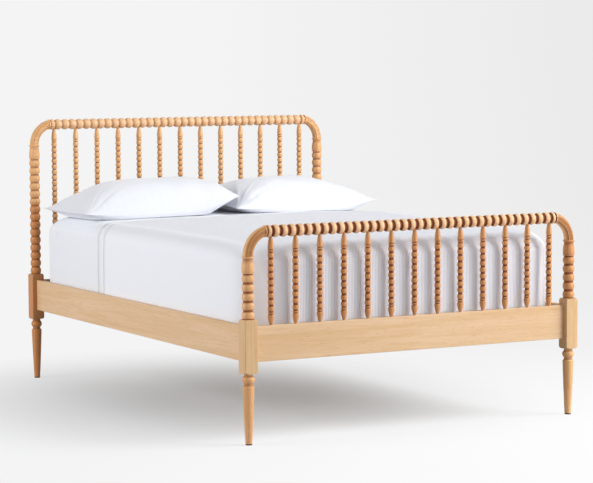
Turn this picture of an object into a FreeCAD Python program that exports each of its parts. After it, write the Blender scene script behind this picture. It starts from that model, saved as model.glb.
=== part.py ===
import FreeCAD, Part
import Sketcher

import math
import os
import re

# Spindle bed for a full-size mattress, in millimetres.
# The origin is on the floor under the middle of the bed: x runs across, +Y towards the head, +Z up.

Vector = FreeCAD.Vector

# Driving sizes: alias, value, what it is.
DRIVING = [
    ("mattress_width", 1360, "mattress across the bed"),
    ("mattress_length", 1905, "mattress along the bed"),
    ("mattress_height", 336, "mattress at the top of its rounded sides"),
    ("mattress_crown", 11, "rise of the mattress top at its middle"),
    ("mattress_corner", 63, "radius of the mattress corners seen from above"),
    ("mattress_shoulder", 62, "radius between the mattress sides and top"),
    ("shoulder_step_count", 6, "facets of that rounding"),
    ("crown_step_count", 4, "facets of the crown from its edge to the middle"),
    ("side_room", 7.5, "gap between mattress and side rail"),
    ("head_room", 40, "gap between mattress and head rail"),
    ("foot_room", 16, "gap between mattress and foot rail"),
    ("post_size", 53, "square block of a post"),
    ("post_edge", 3, "rounding of the block's upright edges"),
    ("post_shoulder", 9, "turned rounding at the block's ends"),
    ("block_below", 40, "block below the rails"),
    ("block_above", 26, "block above the rails"),
    ("post_radius", 23, "beads of a post and its collar"),
    ("post_groove", 18.2, "radius between two post beads"),
    ("post_pitch", 33.35, "one post bead with its groove"),
    ("head_bead_count", 15, "beads on a head post"),
    ("foot_bead_count", 5, "beads on a foot post"),
    ("post_groove_width", 4.5, "width of that groove"),
    ("vase_height", 60, "vase and collar on top of a post"),
    ("vase_foot", 22, "swelling lower part of the vase"),
    ("vase_waist", 22.4, "radius where that part ends and the taper starts"),
    ("vase_neck", 8, "neck between vase and collar"),
    ("neck_radius", 18.6, "radius of that neck"),
    ("collar_height", 6, "collar under an elbow"),
    ("collar_radius", 22, "edges of the collar and the vase's foot"),
    ("glide_height", 5, "glide under a leg"),
    ("glide_chamfer", 1.2, "bevel round the underside of a glide"),
    ("toe_radius", 12.5, "leg at the floor"),
    ("leg_radius", 21.5, "top of the leg's taper"),
    ("leg_neck", 16.5, "radius of the necks above and below the leg's bead"),
    ("leg_bead", 27, "bead between block and taper"),
    ("leg_cove", 9, "each neck beside that bead"),
    ("elbow_reach", 66, "post axis to the elbow's rail end"),
    ("elbow_rise", 88.4, "collar to the rail axis"),
    ("elbow_size", 35, "thickness of an elbow"),
    ("elbow_edge", 8.5, "flats on the elbow's edges"),
    ("rail_inset", 20, "rail face behind the block face"),
    ("rail_thickness", 22, "thickness of every rail"),
    ("rail_bottom", 300, "floor to the underside of the rails"),
    ("rail_height", 130, "height of the rails"),
    ("rail_edge", 2, "rounding of the rails' long edges"),
    ("tenon_thickness", 12, "tenon of an end rail"),
    ("tenon_height", 84, "height of that tenon"),
    ("tenon_length", 22, "length of that tenon"),
    ("top_radius", 23, "beads of a top rail"),
    ("ring_radius", 21, "edges of the ring at the end of a top rail"),
    ("top_groove", 17.5, "radius between two top rail beads"),
    ("top_groove_width", 6, "width of that groove"),
    ("end_bead", 27.4, "last spindle to the end of the top rail"),
    ("end_ring", 3.5, "ring at the end of a top rail"),
    ("end_recess", 4, "recess between that ring and the last bead"),
    ("spindle_count", 13, "spindles in each end of the bed"),
    ("spindle_radius", 12.2, "beads of a spindle"),
    ("spindle_neck", 8, "radius between two spindle beads"),
    ("spindle_tip", 4.8, "radius of both spindle ends"),
    ("spindle_tenon", 11, "depth of a spindle end in its rail"),
    ("spindle_foot", 47, "teardrop and ring at the lower end"),
    ("spindle_head", 58, "taper and ring at the upper end"),
    ("spindle_ring", 7, "ring at both ends of the beads"),
    ("spindle_quirk", 9, "radius of the grooves beside that ring"),
    ("quirk_width", 1, "narrow flat between two turned forms"),
    ("spindle_cup", 9, "swelling above the upper ring"),
    ("head_spindle_bead_count", 23, "beads on a head spindle"),
    ("foot_spindle_bead_count", 9, "beads on a foot spindle"),
    ("dowel_radius", 5, "dowels of the elbows"),
    ("dowel_length", 40, "length of those dowels"),
    ("slat_top", 375, "floor to the top of the slats"),
    ("slat_thickness", 19, "thickness of a slat"),
    ("slat_width", 70, "width of a slat"),
    ("slat_count", 13, "number of slats"),
    ("slat_room", 4, "gap between slat end and side rail"),
    ("slat_margin", 35, "end rail to the first slat"),
    ("tape_width", 25, "webbing that spaces the slats"),
    ("tape_place", 400, "bed's middle to the webbing"),
    ("tape_thickness", 1, "thickness of the webbing"),
    ("cleat_size", 22, "ledger cleat, both ways"),
    ("cleat_margin", 60, "block to the end of a cleat"),
    ("cleat_screws", 7, "screws in each cleat"),
    ("beam_width", 40, "centre beam across"),
    ("beam_height", 52, "centre beam upright"),
    ("stirrup_gauge", 3, "sheet of the beam's stirrups"),
    ("stirrup_depth", 36, "reach of a stirrup under the beam"),
    ("stirrup_flange", 26, "ear of a stirrup beside the beam"),
    ("stirrup_cheek", 36, "height of a stirrup's cheeks"),
    ("plate_width", 16, "hook plates and slotted plates"),
    ("plate_height", 108, "height of those plates"),
    ("plate_gauge", 3, "thickness of those plates"),
    ("hook_gauge", 4, "thickness of a hook"),
    ("hook_height", 22, "height of a hook"),
    ("hook_lip", 8, "drop of a hook behind the slotted plate"),
    ("hook_reach", 10, "hook behind the slotted plate"),
    ("hook_spacing", 40, "between the two hooks of a plate"),
    ("hook_room", 0.5, "play round a hook in its slot"),
    ("mortise_room", 2, "play round the hooks in their mortise"),
    ("screw_radius", 2, "shank of the wood screws"),
    ("screw_head", 3.9, "head of the wood screws"),
    ("screw_flat", 1.6, "thickness of that head"),
    ("screw_length", 22, "screws of the plates"),
    ("screw_margin", 8, "plate end to its screw"),
    ("cleat_screw_length", 38, "screws of the cleats"),
    ("stirrup_screw_length", 18, "screws of the stirrups"),
    ("sheet_gap", 0.3, "room between two layers of bedding"),
    ("sheet_gauge", 1.2, "fitted sheet and top sheet"),
    ("coverlet_gauge", 3, "coverlet"),
    ("tuck_depth", 30, "hem of the covers below the rail tops"),
    ("coverlet_fold", 650.5, "head edge of the coverlet in from the mattress's head end"),
    ("top_sheet_fold", 588.5, "head edge of the top sheet in from the mattress's head end"),
    ("pillow_width", 698, "pillow across the bed"),
    ("pillow_depth", 468, "pillow along the bed"),
    ("pillow_crown", 124, "pillow above its seam"),
    ("pillow_belly", 30, "pillow below its seam"),
    ("pillow_waist", 12, "how far the long sides are drawn in"),
    ("pillow_gap", 6, "between the two pillows"),
    ("pillow_sink", 4, "pillow's lowest point below the top of the mattress's crown"),
    ("pillow_inset", 28.5, "pillows' head side in from the mattress's head end"),
]

# Sizes that follow from the driving ones, worked out by the sheet itself.
DERIVED = [
    ("rail_inner", "rail_inset + rail_thickness - post_size / 2"),
    ("rail_offset", "rail_inset + rail_thickness / 2 - post_size / 2"),
    ("post_half_x", "mattress_width / 2 + side_room + rail_inner"),
    ("post_half_y", "(mattress_length + head_room + foot_room) / 2 + rail_inner"),
    ("rail_top", "rail_bottom + rail_height"),
    ("block_bottom", "rail_bottom - block_below"),
    ("block_top", "rail_top + block_above"),
    ("head_post_top", "block_top + head_bead_count * post_pitch + vase_height"),
    ("foot_post_top", "block_top + foot_bead_count * post_pitch + vase_height"),
    ("head_axis", "head_post_top + elbow_rise"),
    ("foot_axis", "foot_post_top + elbow_rise"),
    ("top_half", "post_half_x - elbow_reach"),
    ("side_half", "post_half_y - post_size / 2"),
    ("end_half", "post_half_x - post_size / 2"),
    ("rail_face_x", "post_half_x - rail_inner"),
    ("rail_face_y", "post_half_y - rail_inner"),
    ("spindle_spacing", "2 * (top_half - end_bead) / (spindle_count - 1)"),
    ("elbow_radius", "(elbow_reach ^ 2 + elbow_rise ^ 2) / (2 * elbow_reach)"),
    ("slat_bottom", "slat_top - slat_thickness"),
    ("slat_half", "rail_face_x - slat_room"),
    ("slat_step", "2 * (rail_face_y - slat_margin - slat_width / 2) / (slat_count - 1)"),
    ("beam_half", "rail_face_y - stirrup_gauge"),
    ("mattress_middle", "(foot_room - head_room) / 2"),
    ("mattress_head", "mattress_middle + mattress_length / 2"),
    ("coverlet_edge", "mattress_head - coverlet_fold"),
    ("top_sheet_edge", "mattress_head - top_sheet_fold"),
    ("pillow_head", "mattress_head - pillow_inset"),
    ("plate_centre", "rail_bottom + rail_height / 2"),
    ("plate_x", "-(post_half_x - rail_offset)"),
    ("hook_pocket", "plate_gauge + hook_reach + hook_room"),
    ("mortise_half", "(hook_spacing + hook_height) / 2 + hook_lip + mortise_room"),
    ("hem_height", "rail_top - tuck_depth"),
    ("bed_top", "slat_top + mattress_height + mattress_crown + sheet_gap + sheet_gauge"),
]

doc = FreeCAD.newDocument("SpindleBed")
sheet = doc.addObject("Spreadsheet::Sheet", "Sizes")
parts = []


def fill_sheet():
    """Writes the driving and the derived sizes into the sheet."""
    row = 1
    for alias, value, note in DRIVING:
        sheet.set("A%d" % row, note)
        sheet.set("B%d" % row, str(value))
        sheet.setAlias("B%d" % row, alias)
        row += 1
    for alias, formula in DERIVED:
        sheet.set("A%d" % row, alias.replace("_", " "))
        sheet.set("B%d" % row, "=" + formula)
        sheet.setAlias("B%d" % row, alias)
        row += 1
    doc.recompute()


def size(alias):
    """A size from the sheet as a number."""
    return float(getattr(sheet, alias))


def bind(item, **formulas):
    """Binds properties of an object to formulas of sheet aliases."""
    for name, formula in formulas.items():
        text = re.sub(r"[a-z]\w+", lambda word: "Sizes." + word.group(0), str(formula))
        item.setExpression(name.replace("place_", "Placement.Base."), text)


def place(item, x=0, y=0, z=0):
    """Binds an object's position."""
    bind(item, place_x=x, place_y=y, place_z=z)
    return item


def past(flip, face, depth):
    """Where something of a given depth starts past a face, as a formula for either end of the bed."""
    return "-(%s) - (%s)" % (face, depth) if flip else face


def keep(item, label):
    """Names an object as a finished piece of the bed."""
    item.Label = label
    parts.append(item)
    return item


# ---- solids bound to the sheet ----

def box(name, length, width, height, x, y, z):
    """A box from its sizes and its lowest corner."""
    item = doc.addObject("Part::Box", name)
    bind(item, Length=length, Width=width, Height=height)
    return place(item, x, y, z)


def centred_box(name, length, width, height, x, y, z):
    """A box from its sizes and its centre."""
    return box(name, length, width, height,
               "%s - (%s) / 2" % (x, length), "%s - (%s) / 2" % (y, width), "%s - (%s) / 2" % (z, height))


TURNS = {
    "x": FreeCAD.Rotation(Vector(0, 1, 0), 90),
    "y": FreeCAD.Rotation(Vector(1, 0, 0), -90),
    "z": FreeCAD.Rotation(),
}


def rod(name, radius, length, along, x, y, z):
    """A cylinder from the middle of its starting end, along +x, +y or +z."""
    item = doc.addObject("Part::Cylinder", name)
    item.Placement = FreeCAD.Placement(Vector(), TURNS[along])
    bind(item, Radius=radius, Height=length)
    return place(item, x, y, z)


def joined(name, items):
    """Several solids fused into one."""
    item = doc.addObject("Part::MultiFuse", name)
    item.Shapes = items
    item.Refine = True
    return item


def cut(name, base, tools):
    """A solid with other solids cut out of it."""
    item = doc.addObject("Part::Cut", name)
    item.Base = base
    item.Tool = tools[0] if len(tools) == 1 else joined(name + "_tools", tools)
    return item


def mirrored(name, source, normal):
    """A solid mirrored in the bed's middle plane."""
    item = doc.addObject("Part::Mirroring", name)
    item.Source = source
    item.Normal = Vector(normal)
    return item


def solid(name, shape):
    """A piece whose shape is worked out here from the sheet's sizes."""
    item = doc.addObject("Part::Feature", name)
    item.Shape = shape
    return item


def in_corners(shape):
    """A shape of the left head corner, repeated in all four corners."""
    across = shape.mirror(Vector(), Vector(1, 0, 0))
    pair = [shape, across]
    return Part.makeCompound(pair + [one.mirror(Vector(), Vector(0, 1, 0)) for one in pair])


# ---- bodies with sketches ----

def origin_plane(body, role):
    """One of the origin planes or axes of a body."""
    return next(item for item in body.Origin.OriginFeatures if item.Role == role)


def sketch(body, name, role, edges, height=None):
    """A closed sketch on an origin plane of its body, raised by a formula if one is given."""
    item = body.newObject("Sketcher::SketchObject", name)
    item.AttachmentSupport = (origin_plane(body, role), [""])
    item.MapMode = "FlatFace"
    if height:
        bind(item, **{"AttachmentOffset.Base.z": height})
    item.addGeometry(edges)
    return item


def outline(points):
    """Straight edges round a closed outline."""
    corners = [Vector(*point) for point in points]
    return [Part.LineSegment(one, two) for one, two in zip(corners, corners[1:] + corners[:1])]


def rectangle(body, name, role, half_x, half_y, height=None):
    """A centred rectangle whose half sides are bound to the sheet."""
    corners = [(-1, -1), (1, -1), (1, 1), (-1, 1)]
    item = sketch(body, name, role, outline([(x, y, 0) for x, y in corners]), height)
    for edge in range(4):
        item.addConstraint(Sketcher.Constraint("Coincident", edge, 2, (edge + 1) % 4, 1))
    for edge, kind in enumerate(["Horizontal", "Vertical", "Horizontal", "Vertical"]):
        item.addConstraint(Sketcher.Constraint(kind, edge))
    item.addConstraint(Sketcher.Constraint("Symmetric", 0, 1, 1, 2, -1, 1))
    width = item.addConstraint(Sketcher.Constraint("DistanceX", 0, 1, 0, 2, 2.0))
    depth = item.addConstraint(Sketcher.Constraint("DistanceY", 1, 1, 1, 2, 2.0))
    bind(item, **{"Constraints[%d]" % width: "2 * (%s)" % half_x})
    bind(item, **{"Constraints[%d]" % depth: "2 * (%s)" % half_y})
    return item


def revolved(body, name, profile, axis="V_Axis"):
    """A sketch turned a full circle about one of its axes."""
    item = body.newObject("PartDesign::Revolution", name)
    item.Profile = profile
    item.ReferenceAxis = (profile, [axis])
    item.Angle = 360
    return item


class Turning:
    """The outline of a turned piece, from its lower end up: radius against height."""

    def __init__(self, start):
        self.points = [(0.0, start)]
        self.edges = []

    def to(self, radius, height):
        """A straight run to a radius at a height."""
        last = self.points[-1]
        if (radius, height) != last:
            self.edges.append(Part.LineSegment(Vector(*last), Vector(radius, height)))
            self.points.append((radius, height))
        return self

    def swell(self, widest, radius, height):
        """An arc through a widest radius at its middle height, ending at a radius."""
        last = self.points[-1]
        middle = Vector(widest, (last[1] + height) / 2)
        self.edges.append(Part.Arc(Vector(*last), middle, Vector(radius, height)))
        self.points.append((radius, height))
        return self

    def closed(self):
        """The outline, closed along the axis."""
        self.to(0.0, self.points[-1][1])
        self.to(0.0, self.points[0][1])
        return self.edges


def checked(item):
    """Stops if an object failed to build."""
    bad = [state for state in item.State if state in ("Invalid", "Error")]
    if bad:
        raise RuntimeError("%s is %s" % (item.Label, bad))
    return item


# ---- posts, elbows and glides ----

def upright_edges(shape, height):
    """Names of the straight upright edges of a given height."""
    names = []
    for number, edge in enumerate(shape.Edges, 1):
        box_of_edge = edge.BoundBox
        thin = box_of_edge.XLength < 0.01 and box_of_edge.YLength < 0.01
        if thin and abs(box_of_edge.ZLength - height) < 0.01:
            names.append("Edge%d" % number)
    return names


def shoulder_edges():
    """The two outlines that a turning tool takes off the block's corners, as quarter rounds."""
    diagonal = math.hypot(size("post_size") / 2, size("post_size") / 2)
    corner = diagonal - (math.sqrt(2) - 1) * size("post_edge")
    round_off = size("post_shoulder")
    inner = corner - round_off
    outer = corner + 3
    slant = round_off * math.sqrt(0.5)
    edges = []
    for level, up in ((size("block_bottom"), 1), (size("block_top"), -1)):
        deep = level + up * round_off
        middle = Vector(inner + slant, deep - up * slant)
        edges.append(Part.Arc(Vector(inner, level), middle, Vector(corner, deep)))
        rest = [(corner, deep), (outer, deep), (outer, level - up), (inner, level - up), (inner, level)]
        edges += [Part.LineSegment(Vector(*one), Vector(*two)) for one, two in zip(rest, rest[1:])]
    return edges


def post_turning(beads, top):
    """The leg below a post's block and the beads, vase and collar above it."""
    turning = Turning(size("glide_height")).to(size("toe_radius"), size("glide_height"))
    neck = size("leg_neck")
    cove = size("leg_cove")
    level = size("block_bottom") - 2 * cove - size("leg_bead")
    turning.to(size("leg_radius"), level - cove / 2)
    turning.swell(size("leg_radius") - 0.6, neck, level)
    turning.to(neck, level + cove)
    level += cove + size("leg_bead")
    turning.swell(size("post_radius"), neck, level)
    groove = size("post_groove")
    level = size("block_top")
    turning.to(neck, level - size("block_above")).to(groove, level - size("block_above")).to(groove, level)
    for _ in range(beads):
        turning.swell(size("post_radius"), groove, level + size("post_pitch") - size("post_groove_width"))
        level += size("post_pitch")
        turning.to(groove, level)
    collar = top - size("collar_height")
    neck_top = collar - size("vase_neck")
    edge = size("collar_radius")
    turning.to(edge, level + size("quirk_width"))
    turning.swell(size("post_radius"), size("vase_waist"), level + size("vase_foot"))
    turning.swell((size("vase_waist") + size("neck_radius")) / 2 + 0.8, size("neck_radius"), neck_top)
    turning.to(size("neck_radius"), collar).to(edge, collar)
    turning.swell(size("post_radius"), edge, top)
    return turning.closed()


def post(end, flip):
    """The left post of one end of the bed, before its mortises are cut."""
    body = doc.addObject("PartDesign::Body", end + "_post_blank")
    square = rectangle(body, end + "_square", "XY_Plane", "post_size / 2", "post_size / 2", "block_bottom")
    block = body.newObject("PartDesign::Pad", end + "_block")
    block.Profile = square
    bind(block, Length="block_top - block_bottom")
    doc.recompute()
    eased = body.newObject("PartDesign::Fillet", end + "_eased")
    eased.Base = (block, upright_edges(block.Shape, size("block_top") - size("block_bottom")))
    bind(eased, Radius="post_edge")
    doc.recompute()
    before = eased.Shape.Volume
    shoulders = body.newObject("PartDesign::Groove", end + "_shoulders")
    shoulders.Profile = sketch(body, end + "_shoulder_sketch", "XZ_Plane", shoulder_edges())
    shoulders.ReferenceAxis = (shoulders.Profile[0], ["V_Axis"])
    shoulders.Angle = 360
    doc.recompute()
    if shoulders.Shape.Volume >= before:
        raise RuntimeError("the block's shoulders aren't cut")
    beads = int(size(end + "_bead_count"))
    turning = sketch(body, end + "_turning", "XZ_Plane", post_turning(beads, size(end + "_post_top")))
    revolved(body, end + "_turned", turning)
    place(body, "-post_half_x", flip + "post_half_y", 0)
    return body


def build_posts(end, flip):
    """Both posts of one end of the bed; flip is a minus sign at the foot."""
    blank = post(end, flip)
    middle_y = flip + "post_half_y"
    tools = [
        box(end + "_plate_recess", "plate_width", "plate_gauge", "plate_height",
            "plate_x - plate_width / 2", past(flip, "side_half", "plate_gauge"),
            "plate_centre - plate_height / 2"),
        box(end + "_hook_mortise", "hook_gauge + 2 * mortise_room", "hook_pocket", "2 * mortise_half",
            "plate_x - hook_gauge / 2 - mortise_room", past(flip, "side_half", "hook_pocket"),
            "plate_centre - mortise_half"),
        box(end + "_tenon_mortise", "tenon_length", "tenon_thickness", "tenon_height",
            "-end_half - tenon_length", "%s(post_half_y - rail_offset) - tenon_thickness / 2" % flip,
            "plate_centre - tenon_height / 2"),
        rod(end + "_post_dowel_hole", "dowel_radius", "dowel_length", "z",
            "-post_half_x", middle_y, end + "_post_top - dowel_length / 2"),
    ]
    for name, side in (("lower", "-"), ("upper", "+")):
        tools.append(rod("%s_%s_screw_hole" % (end, name), "screw_radius", "screw_length", "y",
                         "plate_x", past(flip, "side_half", "screw_length"),
                         "plate_centre %s (plate_height / 2 - screw_margin)" % side))
    left = keep(cut(end + "_post", blank, tools), end + "_post_left")
    keep(mirrored(end + "_post_mirror", left, (1, 0, 0)), end + "_post_right")


def build_elbows(end, flip):
    """The bent corner from the left post to the top rail, and its mirror image."""
    body = doc.addObject("PartDesign::Body", end + "_elbow_blank")
    half = size("elbow_size") / 2
    flat = half - size("elbow_edge")
    around = [(half, -flat), (half, flat), (flat, half), (-flat, half),
              (-half, flat), (-half, -flat), (-flat, -half), (flat, -half)]
    section = sketch(body, end + "_elbow_section", "XY_Plane", outline([(x, y, 0) for x, y in around]))
    centre = size("elbow_radius")
    section.addGeometry(Part.LineSegment(Vector(centre, -half), Vector(centre, half)), True)
    bend = body.newObject("PartDesign::Revolution", end + "_bend")
    bend.Profile = section
    bend.ReferenceAxis = (section, ["Axis0"])
    bend.Angle = 90
    middle_y = flip + "post_half_y"
    place(body, "-post_half_x", middle_y, end + "_post_top")
    doc.recompute()
    if bend.Shape.BoundBox.ZMax < 1:
        bend.Reversed = True
    tools = [
        centred_box(end + "_elbow_end", "4 * elbow_reach", "2 * elbow_size", "4 * elbow_rise",
                    "2 * elbow_reach - top_half", middle_y, end + "_axis"),
        rod(end + "_elbow_dowel_hole", "dowel_radius", "dowel_length", "z", "-post_half_x", middle_y,
            end + "_post_top - dowel_length / 2"),
        rod(end + "_elbow_rail_hole", "dowel_radius", "dowel_length", "x",
            "-top_half - dowel_length / 2", middle_y, end + "_axis"),
    ]
    left = keep(cut(end + "_elbow", body, tools), end + "_elbow_left")
    keep(mirrored(end + "_elbow_mirror", left, (1, 0, 0)), end + "_elbow_right")


# ---- top rails and spindles ----

def top_rail_turning():
    """A bead row along the whole rail, with a spindle standing under every third groove."""
    half = size("top_half")
    groove = size("top_groove")
    bead = size("top_radius")
    half_groove = size("top_groove_width") / 2
    pitch = size("spindle_spacing") / 3
    first = -half + size("end_bead")
    ring = size("ring_radius")
    turning = Turning(-half).to(ring, -half)
    turning.swell((ring + bead) / 2, ring, -half + size("end_ring"))
    turning.to(groove, -half + size("end_ring"))
    start = -half + size("end_ring") + size("end_recess")
    turning.to(groove, start)
    turning.swell(bead, groove, first - half_groove)
    grooves = 3 * (int(size("spindle_count")) - 1)
    for number in range(grooves):
        level = first + number * pitch
        turning.to(groove, level + half_groove)
        turning.swell(bead, groove, level + pitch - half_groove)
    turning.to(groove, -first + half_groove)
    turning.swell(bead, groove, -start)
    turning.to(groove, half - size("end_ring"))
    turning.to(ring, half - size("end_ring"))
    turning.swell((ring + bead) / 2, ring, half)
    return turning.closed()


def spindle_x(number):
    """Where a spindle stands, as a formula."""
    return "(%d - (spindle_count - 1) / 2) * spindle_spacing" % number


def build_top_rail(end, flip):
    """The turned top rail of one end, with the holes of its spindles and dowels."""
    body = doc.addObject("PartDesign::Body", end + "_top_blank")
    turning = sketch(body, end + "_top_turning", "XZ_Plane", top_rail_turning())
    revolved(body, end + "_top_turned", turning)
    body.Placement = FreeCAD.Placement(Vector(), TURNS["x"])
    middle_y = flip + "post_half_y"
    place(body, 0, middle_y, end + "_axis")
    tools = []
    for number in range(int(size("spindle_count"))):
        tools.append(rod("%s_top_hole_%02d" % (end, number + 1), "spindle_tip",
                         "spindle_tenon + top_groove", "z", spindle_x(number), middle_y,
                         end + "_axis - 2 * top_groove"))
    for name, middle in (("left", "-top_half"), ("right", "top_half")):
        tools.append(rod("%s_top_dowel_%s" % (end, name), "dowel_radius", "dowel_length", "x",
                         middle + " - dowel_length / 2", middle_y, end + "_axis"))
    keep(cut(end + "_top", body, tools), end + "_top_rail")


def spindle_turning(length, beads):
    """A ball-turned spindle from its lower shoulder at zero, with a tenon at both ends."""
    tip = size("spindle_tip")
    quirk = size("spindle_quirk")
    widest = size("spindle_radius")
    ring = size("spindle_ring")
    foot = size("spindle_foot")
    head = length - size("spindle_head")
    quirk_width = size("quirk_width")
    ring_start = foot - ring - quirk_width
    turning = Turning(-size("spindle_tenon")).to(tip, -size("spindle_tenon")).to(tip, 0.0)
    turning.swell(0.8 * widest, widest, ring_start * 0.75)
    turning.swell(widest, quirk, ring_start)
    turning.to(quirk, ring_start + quirk_width)
    turning.swell(widest, size("spindle_neck"), foot)
    pitch = (head - foot) / beads
    for number in range(1, beads + 1):
        turning.swell(widest, size("spindle_neck"), foot + number * pitch)
    turning.swell(widest, quirk, head + ring)
    cup_start = head + ring + quirk_width
    turning.to(quirk, cup_start)
    turning.swell(0.98 * widest, 0.94 * widest, cup_start + size("spindle_cup"))
    turning.swell(0.78 * widest, tip, length)
    turning.to(tip, length + size("spindle_tenon"))
    return turning.closed()


def build_spindles(end, flip):
    """One turned spindle, repeated along the rail."""
    length = size(end + "_axis") - size("top_groove") - size("rail_top")
    body = doc.addObject("PartDesign::Body", end + "_spindle_blank")
    turning = sketch(body, end + "_spindle_turning", "XZ_Plane",
                     spindle_turning(length, int(size(end + "_spindle_bead_count"))))
    revolved(body, end + "_spindle_turned", turning)
    doc.recompute()
    for number in range(int(size("spindle_count"))):
        label = "%s_spindle_%02d" % (end, number + 1)
        keep(place(solid(label, body.Shape), spindle_x(number), flip + "post_half_y", "rail_top"), label)


# ---- rails, slats and beam ----

def rail_blank(name, role, half_across, half_up, length, x, y):
    """A straight rail with its long edges rounded, centred at the height of the plates."""
    body = doc.addObject("PartDesign::Body", name)
    section = rectangle(body, name + "_section", role, half_across, half_up)
    run = body.newObject("PartDesign::Pad", name + "_run")
    run.Profile = section
    run.SideType = "Symmetric"
    bind(run, Length=length)
    doc.recompute()
    long_edges = []
    for number, edge in enumerate(run.Shape.Edges, 1):
        if edge.Length > 4 * size("rail_height"):
            long_edges.append("Edge%d" % number)
    eased = body.newObject("PartDesign::Fillet", name + "_eased")
    eased.Base = (run, long_edges)
    bind(eased, Radius="rail_edge")
    place(body, x, y, "plate_centre")
    return body


def stirrup_screw_places():
    """Where the screws of a stirrup stand: across the bed and up, as formulas."""
    across = "(beam_width / 2 + stirrup_gauge + stirrup_flange / 2)"
    levels = ("slat_bottom - beam_height / 4", "slat_bottom - 3 * beam_height / 4")
    return [(side + across, level) for side in ("-", "") for level in levels]


def build_lower_rail(end, flip):
    """The rail under the spindles, tenoned into both posts."""
    middle_y = flip + "(post_half_y - rail_offset)"
    blank = rail_blank(end + "_lower_blank", "YZ_Plane", "rail_thickness / 2", "rail_height / 2",
                       "2 * end_half", 0, middle_y)
    tongue = centred_box(end + "_tongue", "2 * (end_half + tenon_length)", "tenon_thickness",
                         "tenon_height", "0", middle_y, "plate_centre")
    tools = []
    for number in range(int(size("spindle_count"))):
        tools.append(rod("%s_lower_hole_%02d" % (end, number + 1), "spindle_tip", "spindle_tenon", "z",
                         spindle_x(number), flip + "post_half_y", "rail_top - spindle_tenon"))
    bite = "stirrup_screw_length - stirrup_gauge"
    for number, (across, level) in enumerate(stirrup_screw_places()):
        tools.append(rod("%s_stirrup_hole_%d" % (end, number), "screw_radius", bite, "y",
                         across, past(flip, "rail_face_y", bite), level))
    keep(cut(end + "_lower", joined(end + "_lower_joined", [blank, tongue]), tools), end + "_lower_rail")


def cleat_screw_y(number):
    """Where a cleat's screw stands along the bed, as a formula."""
    half = "(side_half - 2 * cleat_margin)"
    return "(%d - (cleat_screws - 1) / 2) * 2 * %s / (cleat_screws - 1)" % (number, half)


def build_side_rails():
    """Both side rails with their cleats."""
    blank = rail_blank("side_blank", "XZ_Plane", "rail_thickness / 2", "rail_height / 2",
                       "2 * side_half", "plate_x", 0)
    tools = []
    for name, recess_y, hole_y in (("head", "side_half - plate_gauge", "side_half - screw_length"),
                                   ("foot", "-side_half", "-side_half")):
        tools.append(box("side_recess_" + name, "plate_width", "plate_gauge", "plate_height",
                         "plate_x - plate_width / 2", recess_y, "plate_centre - plate_height / 2"))
        for level in ("+", "-"):
            tools.append(rod("side_hole_%s_%d" % (name, len(tools)), "screw_radius", "screw_length", "y",
                             "plate_x", hole_y,
                             "plate_centre %s (plate_height / 2 - screw_margin)" % level))
    cleat_tools = []
    for number in range(int(size("cleat_screws"))):
        rail_hole = rod("side_cleat_hole_%d" % number, "screw_radius", "cleat_screw_length", "x",
                        "-rail_face_x + cleat_size - cleat_screw_length", cleat_screw_y(number),
                        "slat_bottom - cleat_size / 2")
        head_hole = rod("cleat_head_hole_%d" % number, "screw_head", "screw_flat", "x",
                        "-rail_face_x + cleat_size - screw_flat", cleat_screw_y(number),
                        "slat_bottom - cleat_size / 2")
        tools.append(rail_hole)
        cleat_tools += [rail_hole, head_hole]
    left = keep(cut("side_rail", blank, tools), "side_rail_left")
    keep(mirrored("side_rail_mirror", left, (1, 0, 0)), "side_rail_right")
    stick = box("cleat_blank", "cleat_size", "2 * (side_half - cleat_margin)", "cleat_size",
                "-rail_face_x", "-(side_half - cleat_margin)", "slat_bottom - cleat_size")
    cleat = keep(cut("cleat", stick, cleat_tools), "cleat_left")
    keep(mirrored("cleat_mirror", cleat, (1, 0, 0)), "cleat_right")


def build_slats():
    """The slats on their cleats, and the webbing under them."""
    half = size("slat_half")
    first = -(size("slat_count") - 1) / 2
    slats = []
    for number in range(int(size("slat_count"))):
        middle = (first + number) * size("slat_step")
        corner = Vector(-half, middle - size("slat_width") / 2, size("slat_bottom"))
        slats.append(Part.makeBox(2 * half, size("slat_width"), size("slat_thickness"), corner))
    keep(solid("slats", Part.makeCompound(slats)), "slats")
    run = -2 * first * size("slat_step") + size("slat_width")
    tapes = []
    for side in (-1, 1):
        start_x = side * size("tape_place") - size("tape_width") / 2
        corner = Vector(start_x, -run / 2, size("slat_bottom") - size("tape_thickness"))
        tapes.append(Part.makeBox(size("tape_width"), run, size("tape_thickness"), corner))
    keep(solid("slat_tapes", Part.makeCompound(tapes)), "slat_tapes")


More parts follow.
